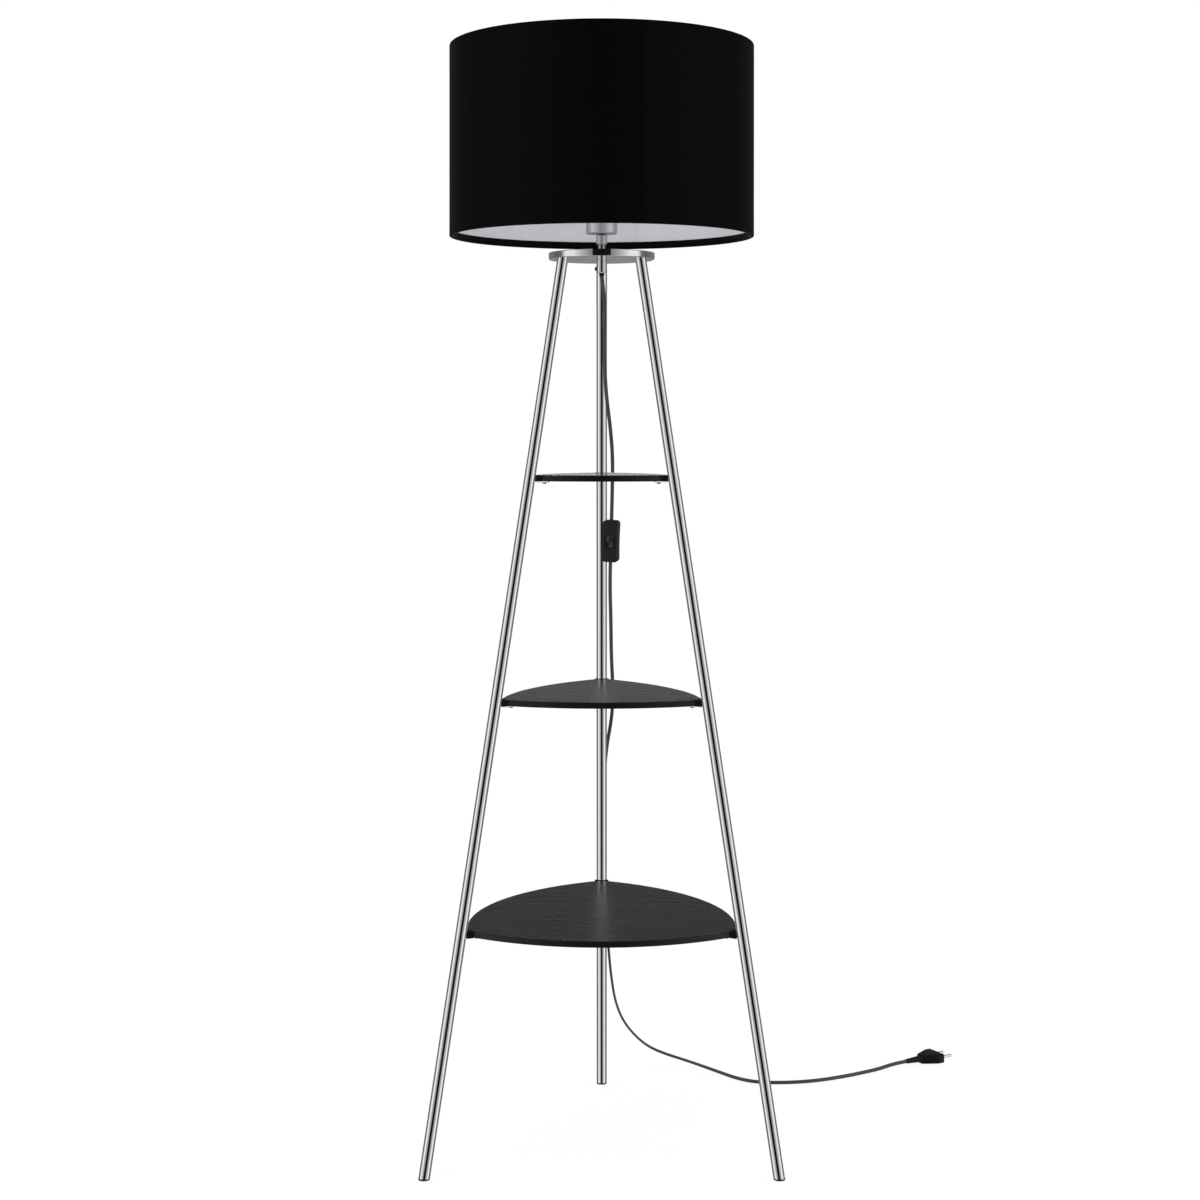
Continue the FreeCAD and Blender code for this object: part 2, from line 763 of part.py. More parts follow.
def make_screw_shell():
    body = turned("screw_shell", *tube_profile("shell_radius", "shell_out",
                                               "shell_z", "shell_top"))
    stand(body, "screw_shell")


def make_contact():
    """Springy centre contact: a foot on the insulator and a raised middle."""
    body = turned(
        "centre_contact",
        ("0", "contact_z"),
        ("contact_dia / 2", "contact_z"),
        ("contact_dia / 2", "contact_z + contact_thick"),
        ("contact_dia / 4", "shell_z - contact_thick"),
        ("contact_dia / 6", "shell_z"),
        ("0", "shell_z"),
    )
    stand(body, "centre_contact")


def make_terminals():
    """Two brass blocks under the insulator's floor, one to each side of the cord."""
    body = new_body("terminals")
    sketch = new_sketch(body, "XY_Plane", "terminal_outline", z="ledge_z")
    for side in ("-1", "1"):
        middle = f"{side} * terminal_pitch / 2"
        add_rectangle(sketch, f"{middle} - terminal_width / 2", f"{middle} + terminal_width / 2",
                      "-terminal_length / 2", "terminal_length / 2")
    pad(body, sketch, "terminal_height", backwards=True)
    stand(body, "terminals")


# ---- shade and its carrier ------------------------------------------------------------------

def make_shade_ring():
    """Notched retaining ring on the skirt, above the shade's hub."""
    body = turned(
        "shade_ring",
        ("skirt_radius + seat_gap", "ring_z"),
        ("ring_dia / 2", "ring_z"),
        ("ring_dia / 2", "ring_z + ring_flange"),
        ("ring_body / 2", "ring_z + ring_flange"),
        ("ring_body / 2", "ring_z + ring_height"),
        ("skirt_radius + seat_gap", "ring_z + ring_height"),
    )
    sketch = new_sketch(body, "XY_Plane", "ring_notch_outline", z="ring_z")
    add_circle(sketch, "ring_dia / 2", "0", "ring_notch / 2")
    notch = pocket(body, sketch, "ring_flange", backwards=True)
    polar(body, notch, sketch, "ring_notch_count")
    stand(body, "shade_ring")


def make_hub():
    body = turned("shade_hub", *tube_profile("hub_bore / 2", "hub_radius",
                                             "hub_z", "hub_z + hub_thick"))
    stand(body, "shade_hub")


def make_arms():
    arm = cross_rod("arm", "wire_radius",
                    "wire_circle - wire_radius - hub_radius - 2 * seat_gap",
                    "hub_radius + seat_gap", "hub_mid")
    three_of("shade_arms", arm, ARM_TURNS)


def make_wire(label, height):
    """Wire ring inside the lining."""
    ring = primitive("Torus", label, Radius1="wire_circle", Radius2="wire_radius",
                     Placement__Base__z=height)
    stand(ring, label)


def make_fabric():
    """Drum cover, turned in over the edge wires and back onto the lining."""
    lower = [
        ("fabric_in", "shade_z + fabric_thick"),
        ("lip_out", "shade_z + fabric_thick"),
        ("lip_out", "shade_z + lip_fold"),
        ("lip_end_out", "shade_z + hem_depth"),
        ("lip_end_in", "shade_z + hem_depth"),
        ("lip_in", "shade_z + lip_fold"),
        ("lip_in", "shade_z"),
    ]
    upper = [
        ("lip_in", "shade_top"),
        ("lip_in", "shade_top - lip_fold"),
        ("lip_end_in", "shade_top - hem_depth"),
        ("lip_end_out", "shade_top - hem_depth"),
        ("lip_out", "shade_top - lip_fold"),
        ("lip_out", "shade_top - fabric_thick"),
        ("fabric_in", "shade_top - fabric_thick"),
    ]
    outer = [("shade_radius", "shade_z"), ("shade_radius", "shade_top")]
    stand(turned("shade_fabric", *outer, *upper, *lower), "shade_fabric")


def make_liner():
    body = turned("shade_liner", *tube_profile("liner_in", "liner_out",
                                               "shade_z + fabric_thick + seat_gap",
                                               "shade_top - fabric_thick - seat_gap"))
    stand(body, "shade_liner")


# ---- shelves --------------------------------------------------------------------------------

def shelf_corners(level):
    """The six ends of a shelf's three cut corners, in order round the outline."""
    corners = []
    for turn in LEGS.values():
        for side in ("-1", "1"):
            across = f"{level}_corner * cos({turn}) - {side} * corner_half * sin({turn})"
            up = f"{level}_corner * sin({turn}) + {side} * corner_half * cos({turn})"
            corners.append((across, up))
    return corners


def side_formula(level):
    """Radius of a bowed side, from its corners and its reach."""
    out = f"({level}_corner / 2 + corner_half * cos(30))"
    half = f"({level}_corner * cos(30) - corner_half / 2)"
    bow = f"({level}_reach - {out})"
    return f"({half} ^ 2 + {bow} ^ 2) / (2 * {bow})"


def add_shelf_outline(sketch, level):
    """Three cut corners joined by three bowed sides."""
    corner, half = size(level + "_corner"), size("corner_half")
    ends = []
    for turn in LEGS.values():
        along = Rotation(Z_AXIS, turn)
        for side in (-1, 1):
            ends.append(along.multVec(Vector(corner, side * half, 0)))
    middles = [Rotation(Z_AXIS, turn + 60).multVec(Vector(size(level + "_reach"), 0, 0))
               for turn in LEGS.values()]
    for step in range(3):
        sketch.addGeometry(Part.LineSegment(ends[2 * step], ends[2 * step + 1]), False)
        bow = Part.Arc(ends[2 * step + 1], middles[step], ends[(2 * step + 2) % 6])
        sketch.addGeometry(bow, False)
    for step in range(6):
        sketch.addConstraint(Sketcher.Constraint("Coincident", step, 2, (step + 1) % 6, 1))
    corners = shelf_corners(level)
    for step in range(6):
        fix(sketch, "DistanceX", step, 1, formula=corners[step][0], start=ends[step].x)
        fix(sketch, "DistanceY", step, 1, formula=corners[step][1], start=ends[step].y)
    for step in (1, 3, 5):
        side = sketch.Geometry[step].Radius
        fix(sketch, "Radius", step, formula=side_formula(level), start=side)


def make_shelf(level):
    """Board with bowed sides, rounded edges and a pilot hole under each corner."""
    label = f"shelf_{level}"
    body = new_body(label)
    outline = new_sketch(body, "XY_Plane", label + "_outline",
                         z=f"{level}_z - shelf_thick")
    add_shelf_outline(outline, level)
    pad(body, outline, "shelf_thick")
    dress("Fillet", body, runs_along(Z_AXIS), Radius="corner_round")
    top = at_height(size(level + "_z"))
    under = at_height(size(level + "_z") - size("shelf_thick"))
    dress("Fillet", body, lambda edge: top(edge) or under(edge), Radius="shelf_edge")
    pilots = new_sketch(body, "XY_Plane", label + "_pilots", z=f"{level}_z - shelf_thick")
    for turn in LEGS.values():
        add_circle(pilots, f"({level}_corner - tab_screw_inset) * cos({turn})",
                   f"({level}_corner - tab_screw_inset) * sin({turn})",
                   "wood_screw_dia / 2 + seat_gap")
    pocket(body, pilots, "wood_screw_bite + screw_room", backwards=True)
    stand(body, label)


def make_tabs(level):
    """Steel tab welded to each leg, coped round the tube, under the shelf's corner."""
    screw = f"{level}_corner - tab_screw_inset"
    floor = f"{level}_z - shelf_thick - tab_thick"
    blank = box(f"tab_{level}_blank", screw, "-tab_width / 2", floor,
                f"{level}_leg - ({screw})", "tab_width", "tab_thick")
    end = rod(f"tab_{level}_end", "tab_round", "tab_thick", screw, floor)
    plate = combine("Fuse", f"tab_{level}_plate", blank, end)
    coped = combine("Cut", f"tab_{level}_coped", plate,
                    leg_bar(f"tab_{level}_leg", "leg_radius + seat_gap"))
    hole = rod(f"tab_{level}_hole", "wood_screw_dia / 2 + seat_gap", "tab_thick", screw, floor)
    three_of(f"tabs_{level}", combine("Cut", f"tab_{level}", coped, hole), LEGS.values())


def make_saddles(level):
    """Black block between each shelf corner and its leg, hollowed to the tube."""
    blank = box(f"saddle_{level}_blank", f"{level}_corner", "-saddle_width / 2",
                f"{level}_z - shelf_thick",
                f"{level}_leg - leg_radius + saddle_wrap - {level}_corner",
                "saddle_width", "shelf_thick")
    saddle = combine("Cut", f"saddle_{level}", blank,
                     leg_bar(f"saddle_{level}_leg", "leg_radius + seat_gap"))
    three_of(f"saddles_{level}", saddle, LEGS.values())


def make_shelf_screws(level):
    """Wood screw up through each tab, its head below."""
    screw = f"{level}_corner - tab_screw_inset"
    floor = f"{level}_z - shelf_thick - tab_thick"
    shank = rod(f"wood_screw_{level}_shank", "wood_screw_dia / 2",
                "tab_thick + wood_screw_bite + wood_screw_cap / 2", screw,
                f"{floor} - wood_screw_cap / 2")
    head = primitive("Cone", f"wood_screw_{level}_head", Radius1="wood_screw_head / 3",
                     Radius2="wood_screw_head / 2", Height="wood_screw_cap",
                     Placement__Base__x=screw, Placement__Base__z=f"{floor} - wood_screw_cap")
    whole = combine("Fuse", f"wood_screw_{level}", shank, head)
    three_of(f"shelf_screws_{level}", whole, LEGS.values())


# ---- switch, plug and cord ------------------------------------------------------------------

def vectors(route):
    return [Vector(*point) for point in route]


def switch_frame():
    """Place of the switch: its own Z runs up the cord, its own -Y is the rocker's side."""
    top = Vector(*UPPER_ROUTE[-1])
    bottom = Vector(*LOWER_ROUTE[0])
    up = (top - bottom).normalize()
    lean = Rotation(Z_AXIS, up)
    middle = (top + bottom) * 0.5 + Vector(0, size("axis_y"), 0)
    return Placement(middle, lean * Rotation(Z_AXIS, SWITCH_TURN))


def place_on_cord(thing, label, frame):
    thing.Label = label
    thing.Placement = frame
    parts.append(thing)


def switch_outline(sketch):
    """Upright outline with drawn-in sides and flat ends."""
    length = (Vector(*UPPER_ROUTE[-1]) - Vector(*LOWER_ROUTE[0])).Length
    half = size("switch_width") / 2
    waist = half - size("switch_waist")
    corners = [Vector(half, -length / 2, 0), Vector(half, length / 2, 0),
               Vector(-half, length / 2, 0), Vector(-half, -length / 2, 0)]
    sketch.addGeometry(Part.Arc(corners[0], Vector(waist, 0, 0), corners[1]), False)
    sketch.addGeometry(Part.LineSegment(corners[1], corners[2]), False)
    sketch.addGeometry(Part.Arc(corners[2], Vector(-waist, 0, 0), corners[3]), False)
    sketch.addGeometry(Part.LineSegment(corners[3], corners[0]), False)


def make_switch_half(label, front):
    """One shell of the switch's housing, from the split plane outwards."""
    body = new_body(label)
    sketch = new_sketch(body, "XZ_Plane", label + "_outline")
    switch_outline(sketch)
    pad(body, sketch, "front_y", backwards=not front)
    dress("Fillet", body, runs_along(Y_AXIS), Radius="switch_round")
    face = -size("front_y") if front else size("front_y")

    def outer(edge):
        return abs(edge.BoundBox.YMin - face) < 0.01 and abs(edge.BoundBox.YMax - face) < 0.01

    dress("Fillet", body, outer, Radius="switch_edge")
    return body


def make_switch_cover():
    """Front shell: window for the rocker, bores for its pin, blind holes for the screws."""
    body = make_switch_half("switch_cover", True)
    window = new_sketch(body, "XZ_Plane", "window_outline")
    add_rectangle(window, "-window_width / 2", "window_width / 2",
                  "-window_length / 2", "window_length / 2")
    pocket(body, window, backwards=True)
    inner = size("window_width") / 2

    def window_corner(edge):
        return runs_along(Y_AXIS)(edge) and abs(abs(edge.BoundBox.Center.x) - inner) < 0.01

    dress("Fillet", body, window_corner, Radius="window_width / 2 - round_flat")
    bores = new_sketch(body, "YZ_Plane", "pin_bores")
    add_circle(bores, "-pivot_y", "0", "rocker_pin_radius + seat_gap / 2")
    pocket(body, bores, "window_width + 2 * rocker_pin_hold + 2 * seat_gap", middle=True)
    blind = new_sketch(body, "XZ_Plane", "cover_screw_holes")
    for side in ("-1", "1"):
        add_circle(blind, "0", f"{side} * shell_screw_pitch / 2",
                   "shell_screw_dia / 2 + seat_gap")
    pocket(body, blind, "shell_screw_bite + screw_room", backwards=True)
    return body


def make_switch_base():
    """Rear shell: well under the rocker, and stepped holes for the screws."""
    body = make_switch_half("switch_base", False)
    well = new_sketch(body, "XZ_Plane", "well_outline")
    add_rectangle(well, "-window_width / 2", "window_width / 2",
                  "-window_length / 2", "window_length / 2")
    pocket(body, well, "well_depth")
    holes = new_sketch(body, "XZ_Plane", "base_screw_holes")
    for side in ("-1", "1"):
        add_circle(holes, "0", f"{side} * shell_screw_pitch / 2",
                   "shell_screw_dia / 2 + seat_gap")
    pocket(body, holes)
    sinks = new_sketch(body, "XZ_Plane", "base_screw_sinks", z="-front_y")
    for side in ("-1", "1"):
        add_circle(sinks, "0", f"{side} * shell_screw_pitch / 2",
                   "shell_screw_head / 2 + seat_gap")
    pocket(body, sinks, "shell_screw_sink", backwards=True)
    return body


def make_rocker():
    """Rocker about its pin: raised ends, dished middle, rounded to the window."""
    body = new_body("switch_rocker")
    sketch = new_sketch(body, "YZ_Plane", "rocker_side")
    high = "-rocker_pivot - rocker_stand"
    add_polygon(sketch, [
        ("rocker_root", "-rocker_length / 2 + rocker_draft"),
        ("rocker_root", "rocker_length / 2 - rocker_draft"),
        (high, "rocker_length / 2"),
        ("-rocker_pivot - rocker_dish", "0"),
        (high, "-rocker_length / 2"),
    ])
    pad(body, sketch, "rocker_width", middle=True)
    width = size("rocker_width") / 2

    def end_corner(edge):
        box_ = edge.BoundBox
        upright = box_.XLength < 0.01 and box_.YLength > 1
        return upright and abs(abs(box_.Center.x) - width) < 0.01 and box_.ZLength < 2

    dress("Fillet", body, end_corner, Radius="rocker_width / 2 - round_flat")
    bore = new_sketch(body, "YZ_Plane", "rocker_bore")
    add_circle(bore, "0", "0", "rocker_pin_radius + pin_gap")
    pocket(body, bore, "rocker_width + cut_over", middle=True)
    return body


def make_rocker_pin():
    pin = cross_rod("rocker_pin_bar", "rocker_pin_radius", "window_width + 2 * rocker_pin_hold",
                    "-window_width / 2 - rocker_pin_hold", "0")
    holder = doc.addObject("Part::Compound", "rocker_pin_solid")
    holder.Links = [pin]
    return holder


def make_switch_contacts():
    """Two brass strips that stand in the well, one under each end of the rocker."""
    body = new_body("switch_contacts")
    sketch = new_sketch(body, "XZ_Plane", "strip_outline", z="-well_depth")
    for side in ("-1", "1"):
        middle = f"{side} * strip_pitch / 2"
        add_rectangle(sketch, "-rocker_width / 3", "rocker_width / 3",
                      f"{middle} - strip_width / 2", f"{middle} + strip_width / 2")
    pad(body, sketch, "strip_height")
    return body


def make_shell_screws():
    """Two screws from the back that hold the shells together."""
    body = new_body("switch_screws")
    shanks = new_sketch(body, "XZ_Plane", "shell_screw_shanks", z="-front_y + shell_screw_sink")
    heads = new_sketch(body, "XZ_Plane", "shell_screw_heads", z="-front_y + shell_screw_sink")
    for side in ("-1", "1"):
        spot = f"{side} * shell_screw_pitch / 2"
        add_circle(shanks, "0", spot, "shell_screw_dia / 2")
        add_circle(heads, "0", spot, "shell_screw_head / 2")
    pad(body, shanks, "front_y - shell_screw_sink + shell_screw_bite")
    pad(body, heads, "shell_screw_cap", backwards=True)
    return body


def make_switch():
    frame = switch_frame()
    place_on_cord(make_switch_cover(), "switch_cover", frame)
    place_on_cord(make_switch_base(), "switch_base", frame)
    place_on_cord(make_switch_contacts(), "switch_contacts", frame)
    place_on_cord(make_shell_screws(), "switch_screws", frame)
    pivot = Placement(Vector(0, -size("pivot_y"), 0), Rotation())
    place_on_cord(make_rocker_pin(), "rocker_pin", frame * pivot)
    tipped = Placement(Vector(), Rotation(X_AXIS, -ROCKER_TIP))
    place_on_cord(make_rocker(), "switch_rocker", frame * pivot * tipped)
    return frame * pivot


def plug_frame():
    """Place of the plug: its own X is the way its pins point, its origin between them."""
    last, end = vectors(LOWER_ROUTE)[-2:]
    heading = (end - last).normalize()
    face = end + heading * size("tail") + Vector(0, size("axis_y"), 0)
    return Placement(face, Rotation(X_AXIS, heading))


def make_plug_body():
    """Flat two-pin plug that narrows towards its cord."""
    body = new_body("plug_body")
    outline = new_sketch(body, "XY_Plane", "plug_outline")
    add_polygon(outline, [
        ("0", "-plug_width / 2"),
        ("0", "plug_width / 2"),
        ("-plug_shoulder", "plug_width / 2"),
        ("-plug_length", "plug_neck / 2"),
        ("-plug_length", "-plug_neck / 2"),
        ("-plug_shoulder", "-plug_width / 2"),
    ])
    pad(body, outline, "plug_height", middle=True)
    top = size("plug_height") / 2

    def rim(edge):
        return at_height(top)(edge) or at_height(-top)(edge)

    dress("Fillet", body, runs_along(Z_AXIS), Radius="plug_edge")
    dress("Fillet", body, rim, Radius="plug_edge")
    seats = new_sketch(body, "YZ_Plane", "pin_seats")
    for side in ("-1", "1"):
        add_circle(seats, f"{side} * pin_pitch / 2", "0", "pin_dia / 2 + seat_gap")
    pocket(body, seats, "pin_seat")
    return body


def make_plug_pins():
    body = new_body("plug_pins")
    sketch = new_sketch(body, "YZ_Plane", "pin_outline", z="-pin_seat")
    for side in ("-1", "1"):
        add_circle(sketch, f"{side} * pin_pitch / 2", "0", "pin_dia / 2")
    pad(body, sketch, "pin_seat + pin_length")
    tip = size("pin_length")

    def tip_edge(edge):
        return abs(edge.BoundBox.XMin - tip) < 0.01 and abs(edge.BoundBox.XMax - tip) < 0.01

    dress("Fillet", body, tip_edge, Radius="pin_dia / 2 - round_flat")
    return body


def make_relief():
    """Tapered strain relief between plug and cord."""
    cone = primitive("Cone", "relief_cone", Radius1="cord_radius + relief_wall",
                     Radius2="relief_dia / 2", Height="relief_length")
    cone.Placement.Rotation = Rotation(Y_AXIS, 90)
    bind(cone, Placement__Base__x="-tail")
    holder = doc.addObject("Part::Compound", "plug_relief_solid")
    holder.Links = [cone]
    return holder


def make_plug():
    frame = plug_frame()
    place_on_cord(make_plug_body(), "plug_body", frame)
    place_on_cord(make_plug_pins(), "plug_pins", frame)
    place_on_cord(make_relief(), "plug_relief", frame)


def make_cord(label, route):
    """Round cord of straight runs joined by tangent arcs, and a line on its bends."""
    points = vectors(route)
    radius = size("cord_radius")
    start = points[0]
    path = []
    bends = []
    for before, corner, after in zip(points, points[1:], points[2:]):
        into = corner - before
        out = after - corner
        turn = into.getAngle(out)
        reach = RUN_SHARE * min(into.Length, out.Length)
        bend = reach / math.tan(turn / 2)
        enter = corner - into.normalize() * reach
        leave = corner + out.normalize() * reach
        inward = (out - into).normalize()
        middle = corner + inward * bend * (1 / math.cos(turn / 2) - 1)
        path.append(Part.LineSegment(start, enter).toShape())
        path.append(Part.Arc(enter, middle, leave).toShape())
        bends.append(round(bend))
        start = leave
    path.append(Part.LineSegment(start, points[-1]).toShape())
    wire = Part.Wire(path)
    end = Part.Wire(Part.Circle(points[0], points[1] - points[0], radius).toShape())
    cord = doc.addObject("Part::Feature", label)
    cord.Shape = wire.makePipeShell([end], True, False)
    place_on_cord(cord, label, Placement(Vector(0, size("axis_y"), 0), Rotation()))
    share = cord.Shape.Volume / (math.pi * radius ** 2 * wire.Length)
    print(f"{label}: length {wire.Length:.1f}, volume {share:.5f} of section x length")
    print(f"{label}: bend radii {bends}")


# ---- the lamp -------------------------------------------------------------------------------

def make_lamp():
    for side, turn in LEGS.items():
        make_leg(side, turn)
        make_glide(side, turn)
    make_leg_inserts()
    make_leg_screws()
    make_top_plate()
    make_rim_block()
    make_stem()
    make_stem_washer()
    make_stem_nut()
    make_collar()
    make_bush()
    make_cord_grip()
    make_grip_screw()
    make_cord_sleeve()
    make_cord_inside()
    make_holder_cup()
    make_holder_skirt()
    make_insulator()
    make_screw_shell()
    make_contact()
    make_terminals()
    make_shade_ring()
    make_hub()
    make_arms()
    make_wire("carrier_ring", "hub_mid")
    make_wire("shade_wire_lower", "shade_z + fabric_thick + seat_gap + wire_radius")
    make_wire("shade_wire_upper", "shade_top - fabric_thick - seat_gap - wire_radius")
    make_fabric()
    make_liner()
    for level in LEVELS:
        make_shelf(level)
        make_tabs(level)
        make_saddles(level)
        make_shelf_screws(level)
    pivot = make_switch()
    make_plug()
    make_cord("cord_upper", UPPER_ROUTE)
    make_cord("cord_lower", LOWER_ROUTE)
    axis = pivot.Rotation.multVec(X_AXIS)
    print(f"rocker pivot {tuple(round(v, 3) for v in pivot.Base)}")
    print(f"rocker axis {tuple(round(v, 6) for v in axis)}")


def check_lamp():
    """Stop if any object failed or any sub-part has no sound shape."""
    failed = [thing.Label for thing in doc.Objects
              if "Invalid" in thing.State or "Error" in thing.State]
    if failed:
        raise ValueError("failed objects: " + ", ".join(failed))
    for part in parts:
        if part.Shape.isNull() or not part.Shape.isValid() or not part.Shape.Solids:
            raise ValueError("no sound shape: " + part.Label)


def export_lamp():
    os.makedirs("parts", exist_ok=True)
    for part in parts:
        part.Shape.exportStep(os.path.join("parts", part.Label + ".step"))
    print(f"{len(parts)} sub-parts, lamp axis at y = {size('axis_y'):.3f}")


fill_sheet()
make_lamp()
doc.recompute()
check_lamp()
export_lamp()
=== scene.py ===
import json
import math

import bmesh
import bpy
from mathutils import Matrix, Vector

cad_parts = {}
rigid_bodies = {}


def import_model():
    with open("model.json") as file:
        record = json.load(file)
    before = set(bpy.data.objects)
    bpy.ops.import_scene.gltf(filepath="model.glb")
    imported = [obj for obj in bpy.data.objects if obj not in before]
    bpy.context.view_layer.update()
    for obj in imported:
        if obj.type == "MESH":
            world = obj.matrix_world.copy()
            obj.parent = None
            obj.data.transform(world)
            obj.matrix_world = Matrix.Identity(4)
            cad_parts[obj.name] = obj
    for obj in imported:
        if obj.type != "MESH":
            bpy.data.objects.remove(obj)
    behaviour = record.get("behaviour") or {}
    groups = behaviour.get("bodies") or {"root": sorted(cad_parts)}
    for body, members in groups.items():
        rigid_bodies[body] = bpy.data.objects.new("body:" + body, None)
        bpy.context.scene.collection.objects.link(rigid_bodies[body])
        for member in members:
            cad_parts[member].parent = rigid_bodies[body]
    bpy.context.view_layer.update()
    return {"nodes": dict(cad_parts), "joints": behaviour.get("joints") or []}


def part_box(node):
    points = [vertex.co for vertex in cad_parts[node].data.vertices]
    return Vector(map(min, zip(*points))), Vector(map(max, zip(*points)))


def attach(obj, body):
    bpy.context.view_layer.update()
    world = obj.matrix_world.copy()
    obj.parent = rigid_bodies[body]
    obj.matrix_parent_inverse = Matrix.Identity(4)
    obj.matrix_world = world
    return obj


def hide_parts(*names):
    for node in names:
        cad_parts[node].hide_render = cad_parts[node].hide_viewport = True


# Metres, in the lamp's frame: +X right, +Y towards the rear leg, +Z up, floor at z = 0.

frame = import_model()
nodes = frame["nodes"]
scene = bpy.context.scene

joints = {joint["name"]: joint for joint in frame["joints"]}
AXIS_Y = joints["shade_turn"]["pos_m"][1]       # the lamp's upright axis is at x = 0 and this y
COVER_RADIUS = 0.2                              # outside of the shade's cloth
LINER_RADIUS = 0.199
LINER_SEAM = math.radians(166)                  # the lining's overlap, turned from the front

# The cords' routes, from the lamp's axis. The switch lies between them.
UPPER_ROUTE = [
    (0.0, 0.0, 1.1427), (0.0046, 0.001, 1.108), (0.0031, 0.0145, 1.050),
    (0.0052, 0.0425, 0.993), (0.0119, 0.073, 0.942), (0.0152, 0.1015, 0.900),
    (0.0141, 0.09505, 0.845), (0.01339, 0.09726, 0.8169),
]
LOWER_ROUTE = [
    (0.01191, 0.10174, 0.7601), (0.01113, 0.1041, 0.73018), (0.0126, 0.119, 0.680),
    (0.0132, 0.1395, 0.628), (0.0157, 0.1525, 0.580), (0.0146, 0.1685, 0.540),
    (0.0065, 0.194, 0.492), (0.0029, 0.201, 0.440), (0.0, 0.2085, 0.384), (0.0005, 0.218, 0.326),
    (0.0035, 0.227, 0.268), (0.0087, 0.236, 0.212), (0.0129, 0.247, 0.160),
    (0.0198, 0.268, 0.112), (0.0341, 0.300, 0.072), (0.0601, 0.330, 0.0365),
    (0.0855, 0.346, 0.0185), (0.1295, 0.336, 0.0075), (0.170, 0.301, 0.0031),
    (0.197, 0.268, 0.0030), (0.225, 0.2515, 0.0029), (0.268, 0.2505, 0.0029),
    (0.3105, 0.260, 0.0029), (0.353, 0.2805, 0.0029), (0.384, 0.300, 0.0029),
    (0.408, 0.3145, 0.0036), (0.430, 0.3275, 0.0068), (0.450, 0.339, 0.0068),
]

# The switch's window is in front of the rocker's pin, with its length along the switch.
ROCKER_PIN = joints["rocker_tip"]["pos_m"]
PIN_AXIS = joints["rocker_tip"]["axis"]
SWITCH_AXIS = (Vector(UPPER_ROUTE[-1]) - Vector(LOWER_ROUTE[0])).normalized()

# ---- small helpers --------------------------------------------------------------------------


def link(obj):
    scene.collection.objects.link(obj)
    return obj


class Nodes:
    """Adds shader nodes to one tree with short calls."""

    def __init__(self, tree):
        self.tree = tree

    def add(self, kind, **settings):
        node = self.tree.nodes.new(kind)
        for name, value in settings.items():
            if name in node.bl_rna.properties:
                setattr(node, name, value)
            else:
                node.inputs[name].default_value = value
        return node

    def wire(self, out, into):
        self.tree.links.new(out, into)

    def math(self, operation, first, second=0.0):
        node = self.tree.nodes.new("ShaderNodeMath")
        node.operation = operation
        for socket, value in zip(node.inputs, (first, second)):
            if isinstance(value, (int, float)):
                socket.default_value = value
            else:
                self.wire(value, socket)
        return node.outputs[0]

    def ramp(self, factor, stops):
        """Colour ramp from (position, grey or colour) stops."""
        node = self.tree.nodes.new("ShaderNodeValToRGB")
        elements = node.color_ramp.elements
        while len(elements) < len(stops):
            elements.new(0.5)
        for element, (position, colour) in zip(elements, stops):
            element.position = position
            grey = isinstance(colour, (int, float))
            element.color = (colour, colour, colour, 1) if grey else (*colour, 1)
        self.wire(factor, node.inputs[0])
        return node.outputs[0]

    def mix(self, factor, first, second, blend="MIX"):
        node = self.tree.nodes.new("ShaderNodeMix")
        node.data_type = "RGBA"
        node.blend_type = blend
        sockets = (node.inputs[0], node.inputs[6], node.inputs[7])
        for socket, value in zip(sockets, (factor, first, second)):
            if isinstance(value, (int, float)):
                socket.default_value = value
            elif isinstance(value, tuple):
                socket.default_value = (*value, 1)
            else:
                self.wire(value, socket)
        return node.outputs[2]


def new_material(name):
    """Material with a plain surface shader, and the helper for its tree."""
    material = bpy.data.materials.new(name)
    material.use_nodes = True
    tree = material.node_tree
    shader = tree.nodes["Principled BSDF"]
    return material, Nodes(tree), shader


def place_coords(n, scale=(1, 1, 1)):
    """Object coordinates in metres, scaled."""
    coords = n.add("ShaderNodeTexCoord")
    mapping = n.add("ShaderNodeMapping")
    mapping.inputs["Scale"].default_value = scale
    n.wire(coords.outputs["Object"], mapping.inputs["Vector"])
    return mapping.outputs["Vector"]


def noise(n, vector, scale, detail, roughness=0.5):
    node = n.add("ShaderNodeTexNoise", Scale=scale, Detail=detail, Roughness=roughness)
    n.wire(vector, node.inputs["Vector"])
    return node.outputs["Fac"]


def bump(n, shader, height, distance, strength):
    node = n.add("ShaderNodeBump", Strength=strength, Distance=distance)
    n.wire(height, node.inputs["Height"])
    n.wire(node.outputs["Normal"], shader.inputs["Normal"])


def scaled(tone, factor):
    return tuple(factor * part for part in tone)


def make_object(name, bm, material):
    """Object with the built faces, which are smooth apart from flat ends."""
    bmesh.ops.recalc_face_normals(bm, faces=bm.faces)
    mesh = bpy.data.meshes.new(name)
    bm.to_mesh(mesh)
    bm.free()
    for face in mesh.polygons:
        face.use_smooth = len(face.vertices) == 4
    mesh.materials.append(material)
    return link(bpy.data.objects.new(name, mesh))


# ---- materials ------------------------------------------------------------------------------


def chrome_material(name, tone, rough, metallic=1.0):
    """Polished plating: faint polishing lines and small changes of gloss."""
    material, n, shader = new_material(name)
    shader.inputs["Metallic"].default_value = metallic
    where = place_coords(n)
    haze = noise(n, where, 55.0, 3.0)
    tint = n.ramp(haze, [(0.35, scaled(tone, 0.96)), (0.7, tone)])
    n.wire(tint, shader.inputs["Base Color"])
    fine = noise(n, place_coords(n, (1, 1, 0.05)), 900.0, 2.0)
    gloss = n.ramp(fine, [(0.3, rough), (0.75, rough * 2.2)])
    n.wire(gloss, shader.inputs["Roughness"])
    bump(n, shader, fine, 0.00001, 0.15)
    return material


